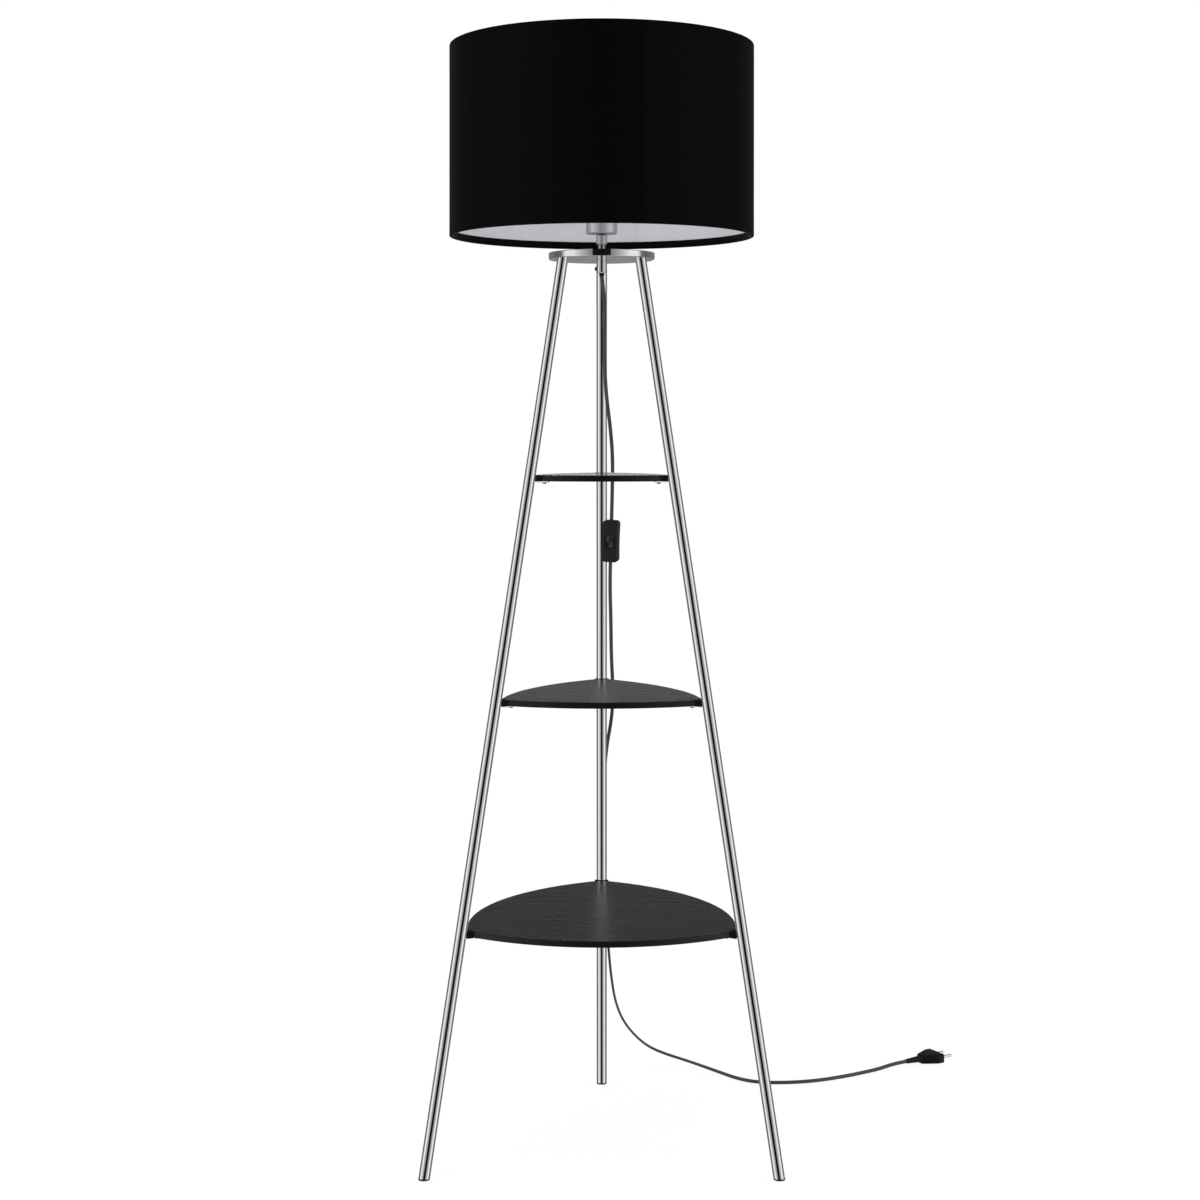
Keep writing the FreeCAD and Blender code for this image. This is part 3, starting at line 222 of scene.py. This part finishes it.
def steel_material(name, tone, rough):
    """Turned or rolled steel with fine lines round it."""
    material, n, shader = new_material(name)
    shader.inputs["Metallic"].default_value = 1.0
    lines = noise(n, place_coords(n, (1, 1, 12)), 700.0, 2.0)
    n.wire(n.ramp(lines, [(0.3, scaled(tone, 0.8)), (0.7, tone)]), shader.inputs["Base Color"])
    n.wire(n.ramp(lines, [(0.3, rough), (0.7, rough + 0.15)]), shader.inputs["Roughness"])
    bump(n, shader, lines, 0.00002, 0.3)
    return material


def moulded_plastic(name, tone, rough, grain, scale):
    """Plastic with a fine even grain, and handling that changes its gloss.

    Returns its mottled tone too, which isn't wired to the shader yet.
    """
    material, n, shader = new_material(name)
    where = place_coords(n)
    shade = noise(n, where, 60.0, 4.0)
    mottled = n.ramp(shade, [(0.3, tone), (0.8, scaled(tone, 1.35))])
    n.wire(n.ramp(shade, [(0.3, rough), (0.8, rough + 0.12)]), shader.inputs["Roughness"])
    bump(n, shader, noise(n, where, scale, 2.0), grain, 0.5)
    return material, n, shader, mottled


def plastic_material(name, tone, rough, shine, grain=0.00004, scale=1500.0):
    material, n, shader, mottled = moulded_plastic(name, tone, rough, grain, scale)
    n.wire(mottled, shader.inputs["Base Color"])
    shader.inputs["Specular IOR Level"].default_value = shine
    return material


# Painted shade round the switch's window: a dark, dull band stands in for the recess's shadow. It
# follows a slot with round ends.
SHADE_BAND_STRAIGHT = 0.0043          # half the slot's straight length
SHADE_BAND_INNER = 0.0056             # from the slot's middle line: dull up to here
SHADE_BAND_OUTER = 0.00616            # and plain plastic from here
SHADE_BAND_TONE = (0.0012, 0.0012, 0.0013)
SHADE_BAND_SHINE = 0.04
RAMP_END = 0.008                # the distance at the ramp's position 1

# The rocker's relief is finer than its solid's two slopes.
ROCKER_HALF = 0.0042            # half its width
ROCKER_CHANGE = 0.003           # from the pin to where the dome or the dish is full
ROCKER_RELIEF = 0.0007


def switch_coords(n):
    """Metres from the rocker's pin: across the switch and along it."""
    coords = n.add("ShaderNodeTexCoord")
    from_pin = n.add("ShaderNodeVectorMath", operation="SUBTRACT")
    n.wire(coords.outputs["Object"], from_pin.inputs[0])
    from_pin.inputs[1].default_value = ROCKER_PIN
    distances = []
    for direction in (PIN_AXIS, SWITCH_AXIS):
        dot = n.add("ShaderNodeVectorMath", operation="DOT_PRODUCT")
        n.wire(from_pin.outputs[0], dot.inputs[0])
        dot.inputs[1].default_value = direction
        distances.append(dot.outputs["Value"])
    return distances


def switch_front_material(name, tone, rough, shine, grain, scale):
    """The switch's plastic, with painted shade round the window: a dark, dull band for the recess's
    shadow.
    """
    material, n, shader, mottled = moulded_plastic(name, tone, rough, grain, scale)
    across, along = switch_coords(n)
    past = n.math("MAXIMUM", n.math("SUBTRACT", n.math("ABSOLUTE", along), SHADE_BAND_STRAIGHT), 0.0)
    squares = n.math("ADD", n.math("MULTIPLY", across, across), n.math("MULTIPLY", past, past))
    outside = n.ramp(n.math("DIVIDE", n.math("SQRT", squares), RAMP_END),
                     [(SHADE_BAND_INNER / RAMP_END, 0.0), (SHADE_BAND_OUTER / RAMP_END, 1.0)])
    # the band's dark tone and low shine are painted shade of the recess
    n.wire(n.mix(outside, SHADE_BAND_TONE, mottled), shader.inputs["Base Color"])
    gloss = n.math("ADD", n.math("MULTIPLY", outside, shine - SHADE_BAND_SHINE), SHADE_BAND_SHINE)
    n.wire(gloss, shader.inputs["Specular IOR Level"])
    return material


def rocker_material(tone, rough, shine):
    """Glossy rocker, domed at its upper half and dished at its lower half."""
    material, n, shader = new_material("rocker_plastic")
    shade = noise(n, place_coords(n), 220.0, 4.0)
    n.wire(n.ramp(shade, [(0.3, tone), (0.8, scaled(tone, 1.6))]), shader.inputs["Base Color"])
    n.wire(n.ramp(shade, [(0.3, rough), (0.8, rough + 0.1)]), shader.inputs["Roughness"])
    shader.inputs["Specular IOR Level"].default_value = shine
    across, along = switch_coords(n)
    half = n.math("DIVIDE", across, ROCKER_HALF)
    arch = n.math("SUBTRACT", 1.0, n.math("MULTIPLY", half, half))
    end = n.math("MINIMUM", n.math("DIVIDE", along, ROCKER_CHANGE), 1.0)
    bump(n, shader, n.math("MULTIPLY", arch, n.math("MAXIMUM", end, -1.0)), ROCKER_RELIEF, 1.0)
    return material


def paint_material(name, tone, rough):
    """Powder coat: slight orange peel."""
    material, n, shader = new_material(name)
    where = place_coords(n)
    patch = noise(n, where, 25.0, 3.0)
    n.wire(n.ramp(patch, [(0.3, scaled(tone, 0.95)), (0.8, tone)]), shader.inputs["Base Color"])
    peel = noise(n, where, 900.0, 2.0)
    n.wire(n.ramp(patch, [(0.3, rough), (0.8, rough + 0.08)]), shader.inputs["Roughness"])
    bump(n, shader, peel, 0.00003, 0.4)
    return material


def board_material(name, dull, glossy):
    """Black-stained board, satin: open grain along X. Its edges, found by which way they face, are
    darker and rougher; their dark tone is painted shade.
    """
    # the edges' dark tone is painted shade, standing in for the light they lack
    edge_shade_tone, edge_rough = (0.0030, 0.0030, 0.0031), (0.42, 0.42, 0.42)
    material, n, shader = new_material(name)
    along = place_coords(n, (3.2, 48, 48))
    warp = noise(n, place_coords(n, (1, 4, 1)), 3.0, 3.0)
    bent = n.add("ShaderNodeVectorMath", operation="ADD")
    n.wire(along, bent.inputs[0])
    shift = n.add("ShaderNodeCombineXYZ")
    n.wire(n.math("MULTIPLY", warp, 5.0), shift.inputs["Y"])
    n.wire(shift.outputs[0], bent.inputs[1])
    grain = noise(n, bent.outputs[0], 4.0, 8.0, 0.62)
    pores = noise(n, place_coords(n, (14, 420, 420)), 5.0, 4.0, 0.7)
    stain = n.ramp(grain, [(0.32, (0.0075, 0.0075, 0.0077)), (0.5, (0.0110, 0.0110, 0.0112)),
                           (0.72, (0.0180, 0.0180, 0.0184))])
    deep = n.ramp(pores, [(0.38, 0.6), (0.52, 1.0)])
    face = n.mix(1.0, stain, deep, "MULTIPLY")
    normal = n.add("ShaderNodeNewGeometry")
    split = n.add("ShaderNodeSeparateXYZ")
    n.wire(normal.outputs["Normal"], split.inputs[0])
    flat = n.ramp(n.math("ABSOLUTE", split.outputs["Z"]), [(0.5, 0.0), (0.8, 1.0)])
    n.wire(n.mix(flat, edge_shade_tone, face), shader.inputs["Base Color"])
    gloss = n.ramp(grain, [(0.3, dull), (0.75, glossy)])
    n.wire(n.mix(flat, edge_rough, gloss), shader.inputs["Roughness"])
    shader.inputs["Specular IOR Level"].default_value = 0.42
    height = n.math("ADD", n.math("MULTIPLY", grain, 0.6), n.math("MULTIPLY", pores, 0.5))
    bump(n, shader, n.math("MULTIPLY", height, flat), 0.00012, 0.05)
    return material


def around(n, radius):
    """Distance round the shade and height, in metres, and the turn from the front, in radians."""
    coords = n.add("ShaderNodeTexCoord")
    split = n.add("ShaderNodeSeparateXYZ")
    n.wire(coords.outputs["Object"], split.inputs[0])
    off_axis = n.math("SUBTRACT", split.outputs["Y"], AXIS_Y)
    angle = n.math("ARCTAN2", split.outputs["X"], n.math("MULTIPLY", off_axis, -1.0))
    return n.math("MULTIPLY", angle, radius), split.outputs["Z"], angle


def weave_material(name, warp_tone, weft_tone, pitch):
    """Plain weave: warp and weft threads over and under, with uneven slub threads."""
    material, n, shader = new_material(name)
    arc, height, _ = around(n, COVER_RADIUS)
    turns = 2 * math.pi / pitch
    across = n.math("SINE", n.math("MULTIPLY", arc, turns))
    up = n.math("SINE", n.math("MULTIPLY", height, turns))
    over = n.math("MULTIPLY", across, up)
    crown = n.math("ADD", n.math("MULTIPLY", over, 0.5), 0.5)
    spot = n.add("ShaderNodeCombineXYZ")
    n.wire(arc, spot.inputs["X"])
    n.wire(height, spot.inputs["Z"])
    slubs = []
    for stretch in ((1600.0, 1.0, 45.0), (40.0, 1.0, 1500.0)):
        mapping = n.add("ShaderNodeMapping")
        mapping.inputs["Scale"].default_value = stretch
        n.wire(spot.outputs[0], mapping.inputs["Vector"])
        slubs.append(n.math("MULTIPLY", noise(n, mapping.outputs[0], 1.0, 3.0, 0.6), 0.5))
    slub = n.math("ADD", *slubs)
    thread = n.mix(crown, warp_tone, weft_tone)
    uneven = n.ramp(slub, [(0.3, 0.45), (0.5, 0.95), (0.66, 1.9)])
    n.wire(n.mix(1.0, thread, uneven, "MULTIPLY"), shader.inputs["Base Color"])
    n.wire(n.ramp(slub, [(0.3, 0.62), (0.66, 0.5)]), shader.inputs["Roughness"])
    shader.inputs["Specular IOR Level"].default_value = 0.055
    shader.inputs["Sheen Weight"].default_value = 0.006
    shader.inputs["Sheen Roughness"].default_value = 0.4
    relief = n.math("ADD", n.math("MULTIPLY", crown, 0.6), n.math("MULTIPLY", slub, 0.8))
    bump(n, shader, relief, 0.00018, 0.7)
    return material


def liner_material(name, tone):
    """White lining film: faint ripples from its backing and one glued overlap."""
    material, n, shader = new_material(name)
    arc, height, angle = around(n, LINER_RADIUS)
    spot = n.add("ShaderNodeCombineXYZ")
    n.wire(n.math("MULTIPLY", arc, 30.0), spot.inputs["X"])
    n.wire(n.math("MULTIPLY", height, 6.0), spot.inputs["Z"])
    wave = noise(n, spot.outputs[0], 1.0, 3.0)
    shade = n.ramp(wave, [(0.3, scaled(tone, 0.95)), (0.75, tone)])
    lap = n.math("ABSOLUTE", n.math("SUBTRACT", angle, LINER_SEAM))
    seam = n.ramp(lap, [(0.0, 0.93), (0.012, 0.97), (0.02, 1.0)])
    n.wire(n.mix(1.0, shade, seam, "MULTIPLY"), shader.inputs["Base Color"])
    shader.inputs["Roughness"].default_value = 0.55
    shader.inputs["Specular IOR Level"].default_value = 0.3
    bump(n, shader, wave, 0.0004, 0.3)
    return material


def cord_material():
    """Dark grey jacket with a dull skin."""
    material, n, shader = new_material("cord_jacket")
    where = place_coords(n)
    patch = noise(n, where, 18.0, 4.0)
    jacket = n.ramp(patch, [(0.3, (0.050, 0.050, 0.052)), (0.75, (0.074, 0.074, 0.077))])
    n.wire(jacket, shader.inputs["Base Color"])
    fine = noise(n, where, 1300.0, 2.0)
    n.wire(n.ramp(patch, [(0.3, 0.42), (0.8, 0.55)]), shader.inputs["Roughness"])
    bump(n, shader, fine, 0.00003, 0.4)
    return material


CHROME = chrome_material("chrome_plating", (0.90, 0.90, 0.91), 0.03)
PLATE = chrome_material("plate_plating", (0.86, 0.86, 0.87), 0.09)
SATIN = chrome_material("satin_plating", (0.70, 0.715, 0.75), 0.2, 0.4)
STEM = chrome_material("stem_plating", (0.34, 0.35, 0.38), 0.10)
STEEL = steel_material("bright_steel", (0.62, 0.62, 0.63), 0.25)
DARK_STEEL = steel_material("black_steel", (0.07, 0.07, 0.075), 0.30)
BRASS = steel_material("brass", (0.78, 0.60, 0.30), 0.22)
WIRE = paint_material("white_wire", (0.80, 0.80, 0.79), 0.35)
BOARD = board_material("stained_board", 0.32, 0.25)
TOP_BOARD = board_material("stained_board_top", 0.225, 0.205)
BLACK = plastic_material("black_plastic", (0.0045, 0.0045, 0.0046), 0.45, 0.25)
RUBBER = plastic_material("black_rubber", (0.0028, 0.0028, 0.0029), 0.62, 0.12, 0.00005, 900.0)
HOLDER = plastic_material("holder_plastic", (0.010, 0.010, 0.010), 0.25, 0.4)
SHELL = {"tone": (0.0095, 0.0095, 0.010), "rough": 0.38, "shine": 0.4,
         "grain": 0.00006, "scale": 1100.0}
SWITCH = plastic_material("switch_plastic", **SHELL)
SWITCH_FRONT = switch_front_material("switch_front_plastic", **SHELL)
ROCKER = rocker_material((0.013, 0.013, 0.0135), 0.24, 0.6)
COVER = weave_material("shade_weave", (0.0009, 0.0009, 0.0011), (0.0017, 0.0017, 0.0021), 0.00115)
LINER = liner_material("shade_lining", (0.885, 0.895, 0.925))
CORD = cord_material()

FINISHES = {
    CHROME: ["leg_left", "leg_right", "leg_rear", "tabs_low", "tabs_mid", "tabs_top",
             "cord_grip", "plug_pins"],
    STEM: ["stem"],
    PLATE: ["top_plate"],
    SATIN: ["holder_cup", "stem_collar"],
    STEEL: ["leg_inserts", "leg_screws", "stem_nut", "stem_washer", "switch_screws", "rocker_pin"],
    DARK_STEEL: ["shelf_screws_low", "shelf_screws_mid", "shelf_screws_top"],
    BRASS: ["screw_shell", "centre_contact", "terminals", "switch_contacts"],
    WIRE: ["carrier_ring", "shade_arms", "shade_hub", "shade_wire_lower", "shade_wire_upper"],
    BOARD: ["shelf_low", "shelf_mid"],
    TOP_BOARD: ["shelf_top"],
    HOLDER: ["holder_insulator", "holder_skirt", "shade_ring"],
    RUBBER: ["saddles_low", "saddles_mid", "saddles_top"],
    BLACK: ["glide_left", "glide_right", "glide_rear", "entry_bush", "cord_sleeve", "rim_block",
            "grip_screw", "plug_body", "plug_relief"],
    SWITCH_FRONT: ["switch_cover"],
    SWITCH: ["switch_base"],
    ROCKER: ["switch_rocker"],
    LINER: ["shade_liner"],
    COVER: ["shade_fabric"],
    CORD: ["cord_inside", "cord_upper", "cord_lower"],
}
for finish, names in FINISHES.items():
    for name in names:
        nodes[name].data.materials.clear()
        nodes[name].data.materials.append(finish)

# ---- cords ----------------------------------------------------------------------------------

CORD_WIDTH = 0.0054             # flat cord with two cores side by side
CORD_THICK = 0.0033
CORD_WAIST = 0.00012            # how far its sides sink between the cores

# How far the cord's broad side is turned away from the front, in degrees, by share of its length.
UPPER_TURNS = [(0.0, 35), (1.0, 35)]
LOWER_TURNS = [(0.0, 35), (0.35, 50), (0.45, 80), (0.58, 82), (0.68, 55), (0.78, 18), (1.0, 0)]


def route_line(name, route):
    """Points along one smooth spline that has the route's points as its control points."""
    curve = bpy.data.curves.new(name, "CURVE")
    curve.dimensions = "3D"
    spline = curve.splines.new("NURBS")
    spline.points.add(len(route) - 1)
    for point, (x, y, z) in zip(spline.points, route):
        point.co = (x, y + AXIS_Y, z, 1.0)
    spline.order_u = 3
    spline.use_endpoint_u = True
    spline.resolution_u = 20
    holder = bpy.data.objects.new(name, curve)
    line = bpy.data.meshes.new_from_object(holder)
    points = [vertex.co.copy() for vertex in line.vertices]
    bpy.data.meshes.remove(line)
    bpy.data.objects.remove(holder)
    bpy.data.curves.remove(curve)
    return points


def cord_section():
    """The flat cord's outline: two round cores and a hardly sunk waist between them."""
    core = CORD_THICK / 2
    apart = (CORD_WIDTH - CORD_THICK) / 2
    outline = []
    for side, start in ((1, -90), (-1, 90)):
        for step in range(9):
            angle = math.radians(start + 22.5 * step)
            outline.append((side * apart + core * math.cos(angle), core * math.sin(angle)))
        outline.append((0.0, side * (core - CORD_WAIST)))
    return outline


def turn_at(turns, share):
    """Angle at this share of the length, eased between the listed ones."""
    stretches = zip(turns, turns[1:])
    (start, first), (end, last) = next(pair for pair in stretches if share <= pair[1][0])
    step = (share - start) / (end - start)
    return math.radians(first + (last - first) * step * step * (3 - 2 * step))


def flat_cord(name, route, turns):
    """Sweeps the flat section along the route's spline. Returns the cord and its line."""
    line = route_line(name, route)
    far = [0.0]
    for here, after in zip(line, line[1:]):
        far.append(far[-1] + (after - here).length)
    outline = cord_section()
    front = Vector((0, -1, 0))
    bm = bmesh.new()
    rings = []
    for index, point in enumerate(line):
        ahead = line[min(index + 1, len(line) - 1)]
        behind = line[max(index - 1, 0)]
        along = (ahead - behind).normalized()
        across = along.cross(front).normalized()
        turn = turn_at(turns, far[index] / far[-1])
        broad = across * math.cos(turn) + along.cross(across) * math.sin(turn)
        thin = along.cross(broad)
        rings.append([bm.verts.new(point + broad * u + thin * v) for u, v in outline])
    count = len(outline)
    for here, after in zip(rings, rings[1:]):
        for step in range(count):
            beside = (step + 1) % count
            bm.faces.new((here[step], here[beside], after[beside], after[step]))
    bm.faces.new(rings[0])
    bm.faces.new(rings[-1])
    return make_object(name, bm, CORD), line


upper, upper_line = flat_cord("cord_upper_flex", UPPER_ROUTE, UPPER_TURNS)
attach(upper, "root")
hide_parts("cord_upper")
lower, lower_line = flat_cord("cord_lower_flex", LOWER_ROUTE, LOWER_TURNS)
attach(lower, "root")
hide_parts("cord_lower")

# ---- shade cover ----------------------------------------------------------------------------

CLOTH_THICK = 0.0006
SEAM = math.radians(14)         # where the cloth's lap starts, turned from the front
SEAM_STEP = 0.0008              # turn over which the lap's edge rises, in radians
LAP_WIDTH = 0.010
LAP_RISE = 0.00022
HEM_RADIUS = 0.1990             # what lies nearer the axis is the turned-in hem
COLUMNS = 240                   # steps round the shade


def cover_profile(low, high):
    """Middle of the cloth from its lower hem's end, out round the edge wires, to its upper one's.

    Distances from the shade's axis and heights, in metres.
    """
    hem = [(0.19800, 0.0100), (0.19795, 0.0093), (0.19700, 0.0079), (0.19570, 0.0063),
           (0.19450, 0.0045), (0.19400, 0.0028), (0.19420, 0.0014), (0.19500, 0.0006),
           (0.19630, 0.0003), (0.19800, 0.00028), (0.19895, 0.00028), (0.19945, 0.00045),
           (0.19968, 0.00085), (0.19972, 0.0018)]
    middle = COVER_RADIUS - CLOTH_THICK / 2
    side = [(middle, low + (high - low) * step / 20) for step in range(1, 20)]
    return [(r, low + z) for r, z in hem] + side + [(r, high - z) for r, z in reversed(hem)]


def cover_radius(r, z, angle, low, high):
    """The cloth follows its lining: hardly noticeable waves, and one lapped seam."""
    share = (z - low) / (high - low)
    wave = 0.00007 * math.sin(5 * angle + 1.3) + 0.00005 * math.sin(11 * angle + 4 * share)
    lap = LAP_RISE if 0 <= (angle - SEAM) * COVER_RADIUS <= LAP_WIDTH else 0.0
    return r + (wave + lap if r > HEM_RADIUS else 0.0)


def make_cover():
    """One turned-over skin of woven cloth, closed by its thickness."""
    low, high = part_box("shade_fabric")
    profile = cover_profile(low.z, high.z)
    lap_turn = LAP_WIDTH / COVER_RADIUS
    lap_edges = [SEAM - SEAM_STEP, SEAM, SEAM + lap_turn, SEAM + lap_turn + SEAM_STEP]
    turns = sorted([2 * math.pi * step / COLUMNS for step in range(COLUMNS)] + lap_edges)
    bm = bmesh.new()
    rings = []
    for angle in turns:
        ring = []
        for r, z in profile:
            reach = cover_radius(r, z, angle, low.z, high.z)
            place = (reach * math.sin(angle), AXIS_Y - reach * math.cos(angle), z)
            ring.append(bm.verts.new(place))
        rings.append(ring)
    for here, after in zip(rings, rings[1:] + rings[:1]):
        for step in range(len(profile) - 1):
            bm.faces.new((here[step], after[step], after[step + 1], here[step + 1]))
    cover = make_object("shade_cover", bm, COVER)
    skin = cover.modifiers.new("cloth", "SOLIDIFY")
    skin.thickness = CLOTH_THICK
    skin.offset = 0.0
    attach(cover, "shade")
    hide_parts("shade_fabric")


make_cover()

# ---- camera ---------------------------------------------------------------------------------

# Level, in front of the lamp. Its shift keeps the uprights parallel, as the photograph shows them.
CAMERA_AWAY = 2.781             # from the lamp's axis
CAMERA_HEIGHT = 0.950
PHOTO_SIZE = 1200               # this and the next three are pixels of the photograph
FOCAL = 2113
LAMP_COLUMN = 601.7             # the lamp's axis, from the left
EYE_LINE = 422.5                # the camera's height, from the top
SENSOR = 36.0                   # millimetres, as the lens

camera_data = bpy.data.cameras.new("camera")
camera = link(bpy.data.objects.new("camera", camera_data))
camera.location = (0.0, AXIS_Y - CAMERA_AWAY, CAMERA_HEIGHT)
camera.rotation_euler = (math.pi / 2, 0.0, 0.0)
camera_data.sensor_width = SENSOR
camera_data.lens = SENSOR * FOCAL / PHOTO_SIZE
camera_data.shift_x = (PHOTO_SIZE / 2 - LAMP_COLUMN) / PHOTO_SIZE
camera_data.shift_y = (EYE_LINE - PHOTO_SIZE / 2) / PHOTO_SIZE
scene.camera = camera

# ---- studio ---------------------------------------------------------------------------------

WHITE = (1.0, 1.0, 1.0)
DOME = (0.78, 0.78, 0.785)      # what lights the lamp from all sides
PAPER = (0.86, 0.86, 0.86)
FLOOR_DEPTH = 0.0006            # below the feet
FLOOR_REACH = 14.0
FLOOR_GLOW = 1.06
FLOOR_PLAIN = 0.86              # the share of the seen floor that takes no shadow
LIGHTS_FACE = (0, 0, 0.8)       # near the lamp's middle


def seen_plainly(n, path):
    """1 for what the camera sees itself, straight or through glass, and 0 for other rays."""
    return n.math("MAXIMUM", path.outputs["Is Camera Ray"], path.outputs["Is Transmission Ray"])


def studio_tones(n, direction):
    """What glossy surfaces mirror, by direction. A turn of 0 is the front, and 1 the back.

    A dark gap in front, bright panels at both sides, a grey wall behind that is lit at its foot.
    """
    angle = n.math("ARCTAN2", direction["X"], n.math("MULTIPLY", direction["Y"], -1.0))
    turn = n.math("DIVIDE", n.math("ABSOLUTE", angle), math.pi)
    round_about = n.ramp(turn, [(0.0, 0.004), (0.095, 0.006), (0.122, 0.27), (0.22, 0.44),
                                (0.28, 0.63), (0.36, 0.92), (0.48, 0.92), (0.535, 0.16),
                                (0.62, 0.12), (0.75, 0.18), (0.89, 0.22)])
    rise = n.math("ADD", n.math("MULTIPLY", direction["Z"], 0.5), 0.5)
    wall = n.ramp(rise, [(0.0, 0.22), (0.49, 0.24), (0.502, 3.15), (0.520, 3.15),
                         (0.530, 0.08), (0.56, 0.045), (0.60, 0.085), (1.0, 0.09)])
    behind = n.ramp(turn, [(0.91, 0.0), (0.965, 1.0)])
    return n.mix(behind, round_about, wall)


def make_world():
    world = bpy.data.worlds.new("studio")
    scene.world = world
    world.use_nodes = True
    tree = world.node_tree
    n = Nodes(tree)
    background = tree.nodes["Background"]
    path = n.add("ShaderNodeLightPath")
    coords = n.add("ShaderNodeTexCoord")
    split = n.add("ShaderNodeSeparateXYZ")
    n.wire(coords.outputs["Generated"], split.inputs[0])
    mirrored = studio_tones(n, split.outputs)
    seen = n.mix(path.outputs["Is Glossy Ray"], DOME, mirrored)
    n.wire(n.mix(seen_plainly(n, path), seen, WHITE), background.inputs["Color"])
    background.inputs["Strength"].default_value = 1.0


def make_floor():
    """Pale floor. The camera sees it white, with the lamp's faint shadow. No surface mirrors it."""
    mesh = bpy.data.meshes.new("floor")
    corners = [(x * FLOOR_REACH, y * FLOOR_REACH, -FLOOR_DEPTH)
               for x, y in ((-1, -1), (1, -1), (1, 1), (-1, 1))]
    mesh.from_pydata(corners, [], [(0, 1, 2, 3)])
    floor = link(bpy.data.objects.new("floor", mesh))
    floor.visible_glossy = False
    material = bpy.data.materials.new("floor_paper")
    material.use_nodes = True
    tree = material.node_tree
    n = Nodes(tree)
    tree.nodes.remove(tree.nodes["Principled BSDF"])
    output = tree.nodes["Material Output"]
    path = n.add("ShaderNodeLightPath")
    paper = n.add("ShaderNodeBsdfDiffuse")
    paper.inputs["Color"].default_value = (*PAPER, 1)
    lit = n.add("ShaderNodeEmission", Strength=FLOOR_GLOW)
    lit.inputs["Color"].default_value = (*WHITE, 1)
    white = n.add("ShaderNodeMixShader")
    white.inputs[0].default_value = FLOOR_PLAIN
    n.wire(paper.outputs[0], white.inputs[1])
    n.wire(lit.outputs[0], white.inputs[2])
    seen = n.add("ShaderNodeMixShader")
    n.wire(seen_plainly(n, path), seen.inputs[0])
    n.wire(paper.outputs[0], seen.inputs[1])
    n.wire(white.outputs[0], seen.inputs[2])
    n.wire(seen.outputs[0], output.inputs["Surface"])
    mesh.materials.append(material)


def add_area(name, place, size, power):
    """Soft light on the lamp, which no surface mirrors."""
    light = bpy.data.lights.new(name, "AREA")
    light.shape = "RECTANGLE"
    light.size, light.size_y = size
    light.energy = power
    obj = link(bpy.data.objects.new(name, light))
    obj.location = place
    towards = Vector(LIGHTS_FACE) - Vector(place)
    obj.rotation_euler = towards.to_track_quat("-Z", "Y").to_euler()
    obj.visible_glossy = False


make_world()
make_floor()

# What mirrors sees the studio and the plated pieces, and no other piece.
PLATED = (CHROME, PLATE, SATIN, STEM)
for piece in scene.objects:
    if piece.type == "MESH" and piece.data.materials and piece.data.materials[0] not in PLATED:
        piece.visible_glossy = False

add_area("key", place=(-1.8, -2.2, 2.6), size=(1.6, 1.6), power=21.0)
add_area("fill", place=(2.4, -1.6, 1.6), size=(1.4, 1.8), power=9.0)

scene.view_settings.view_transform = "Standard"
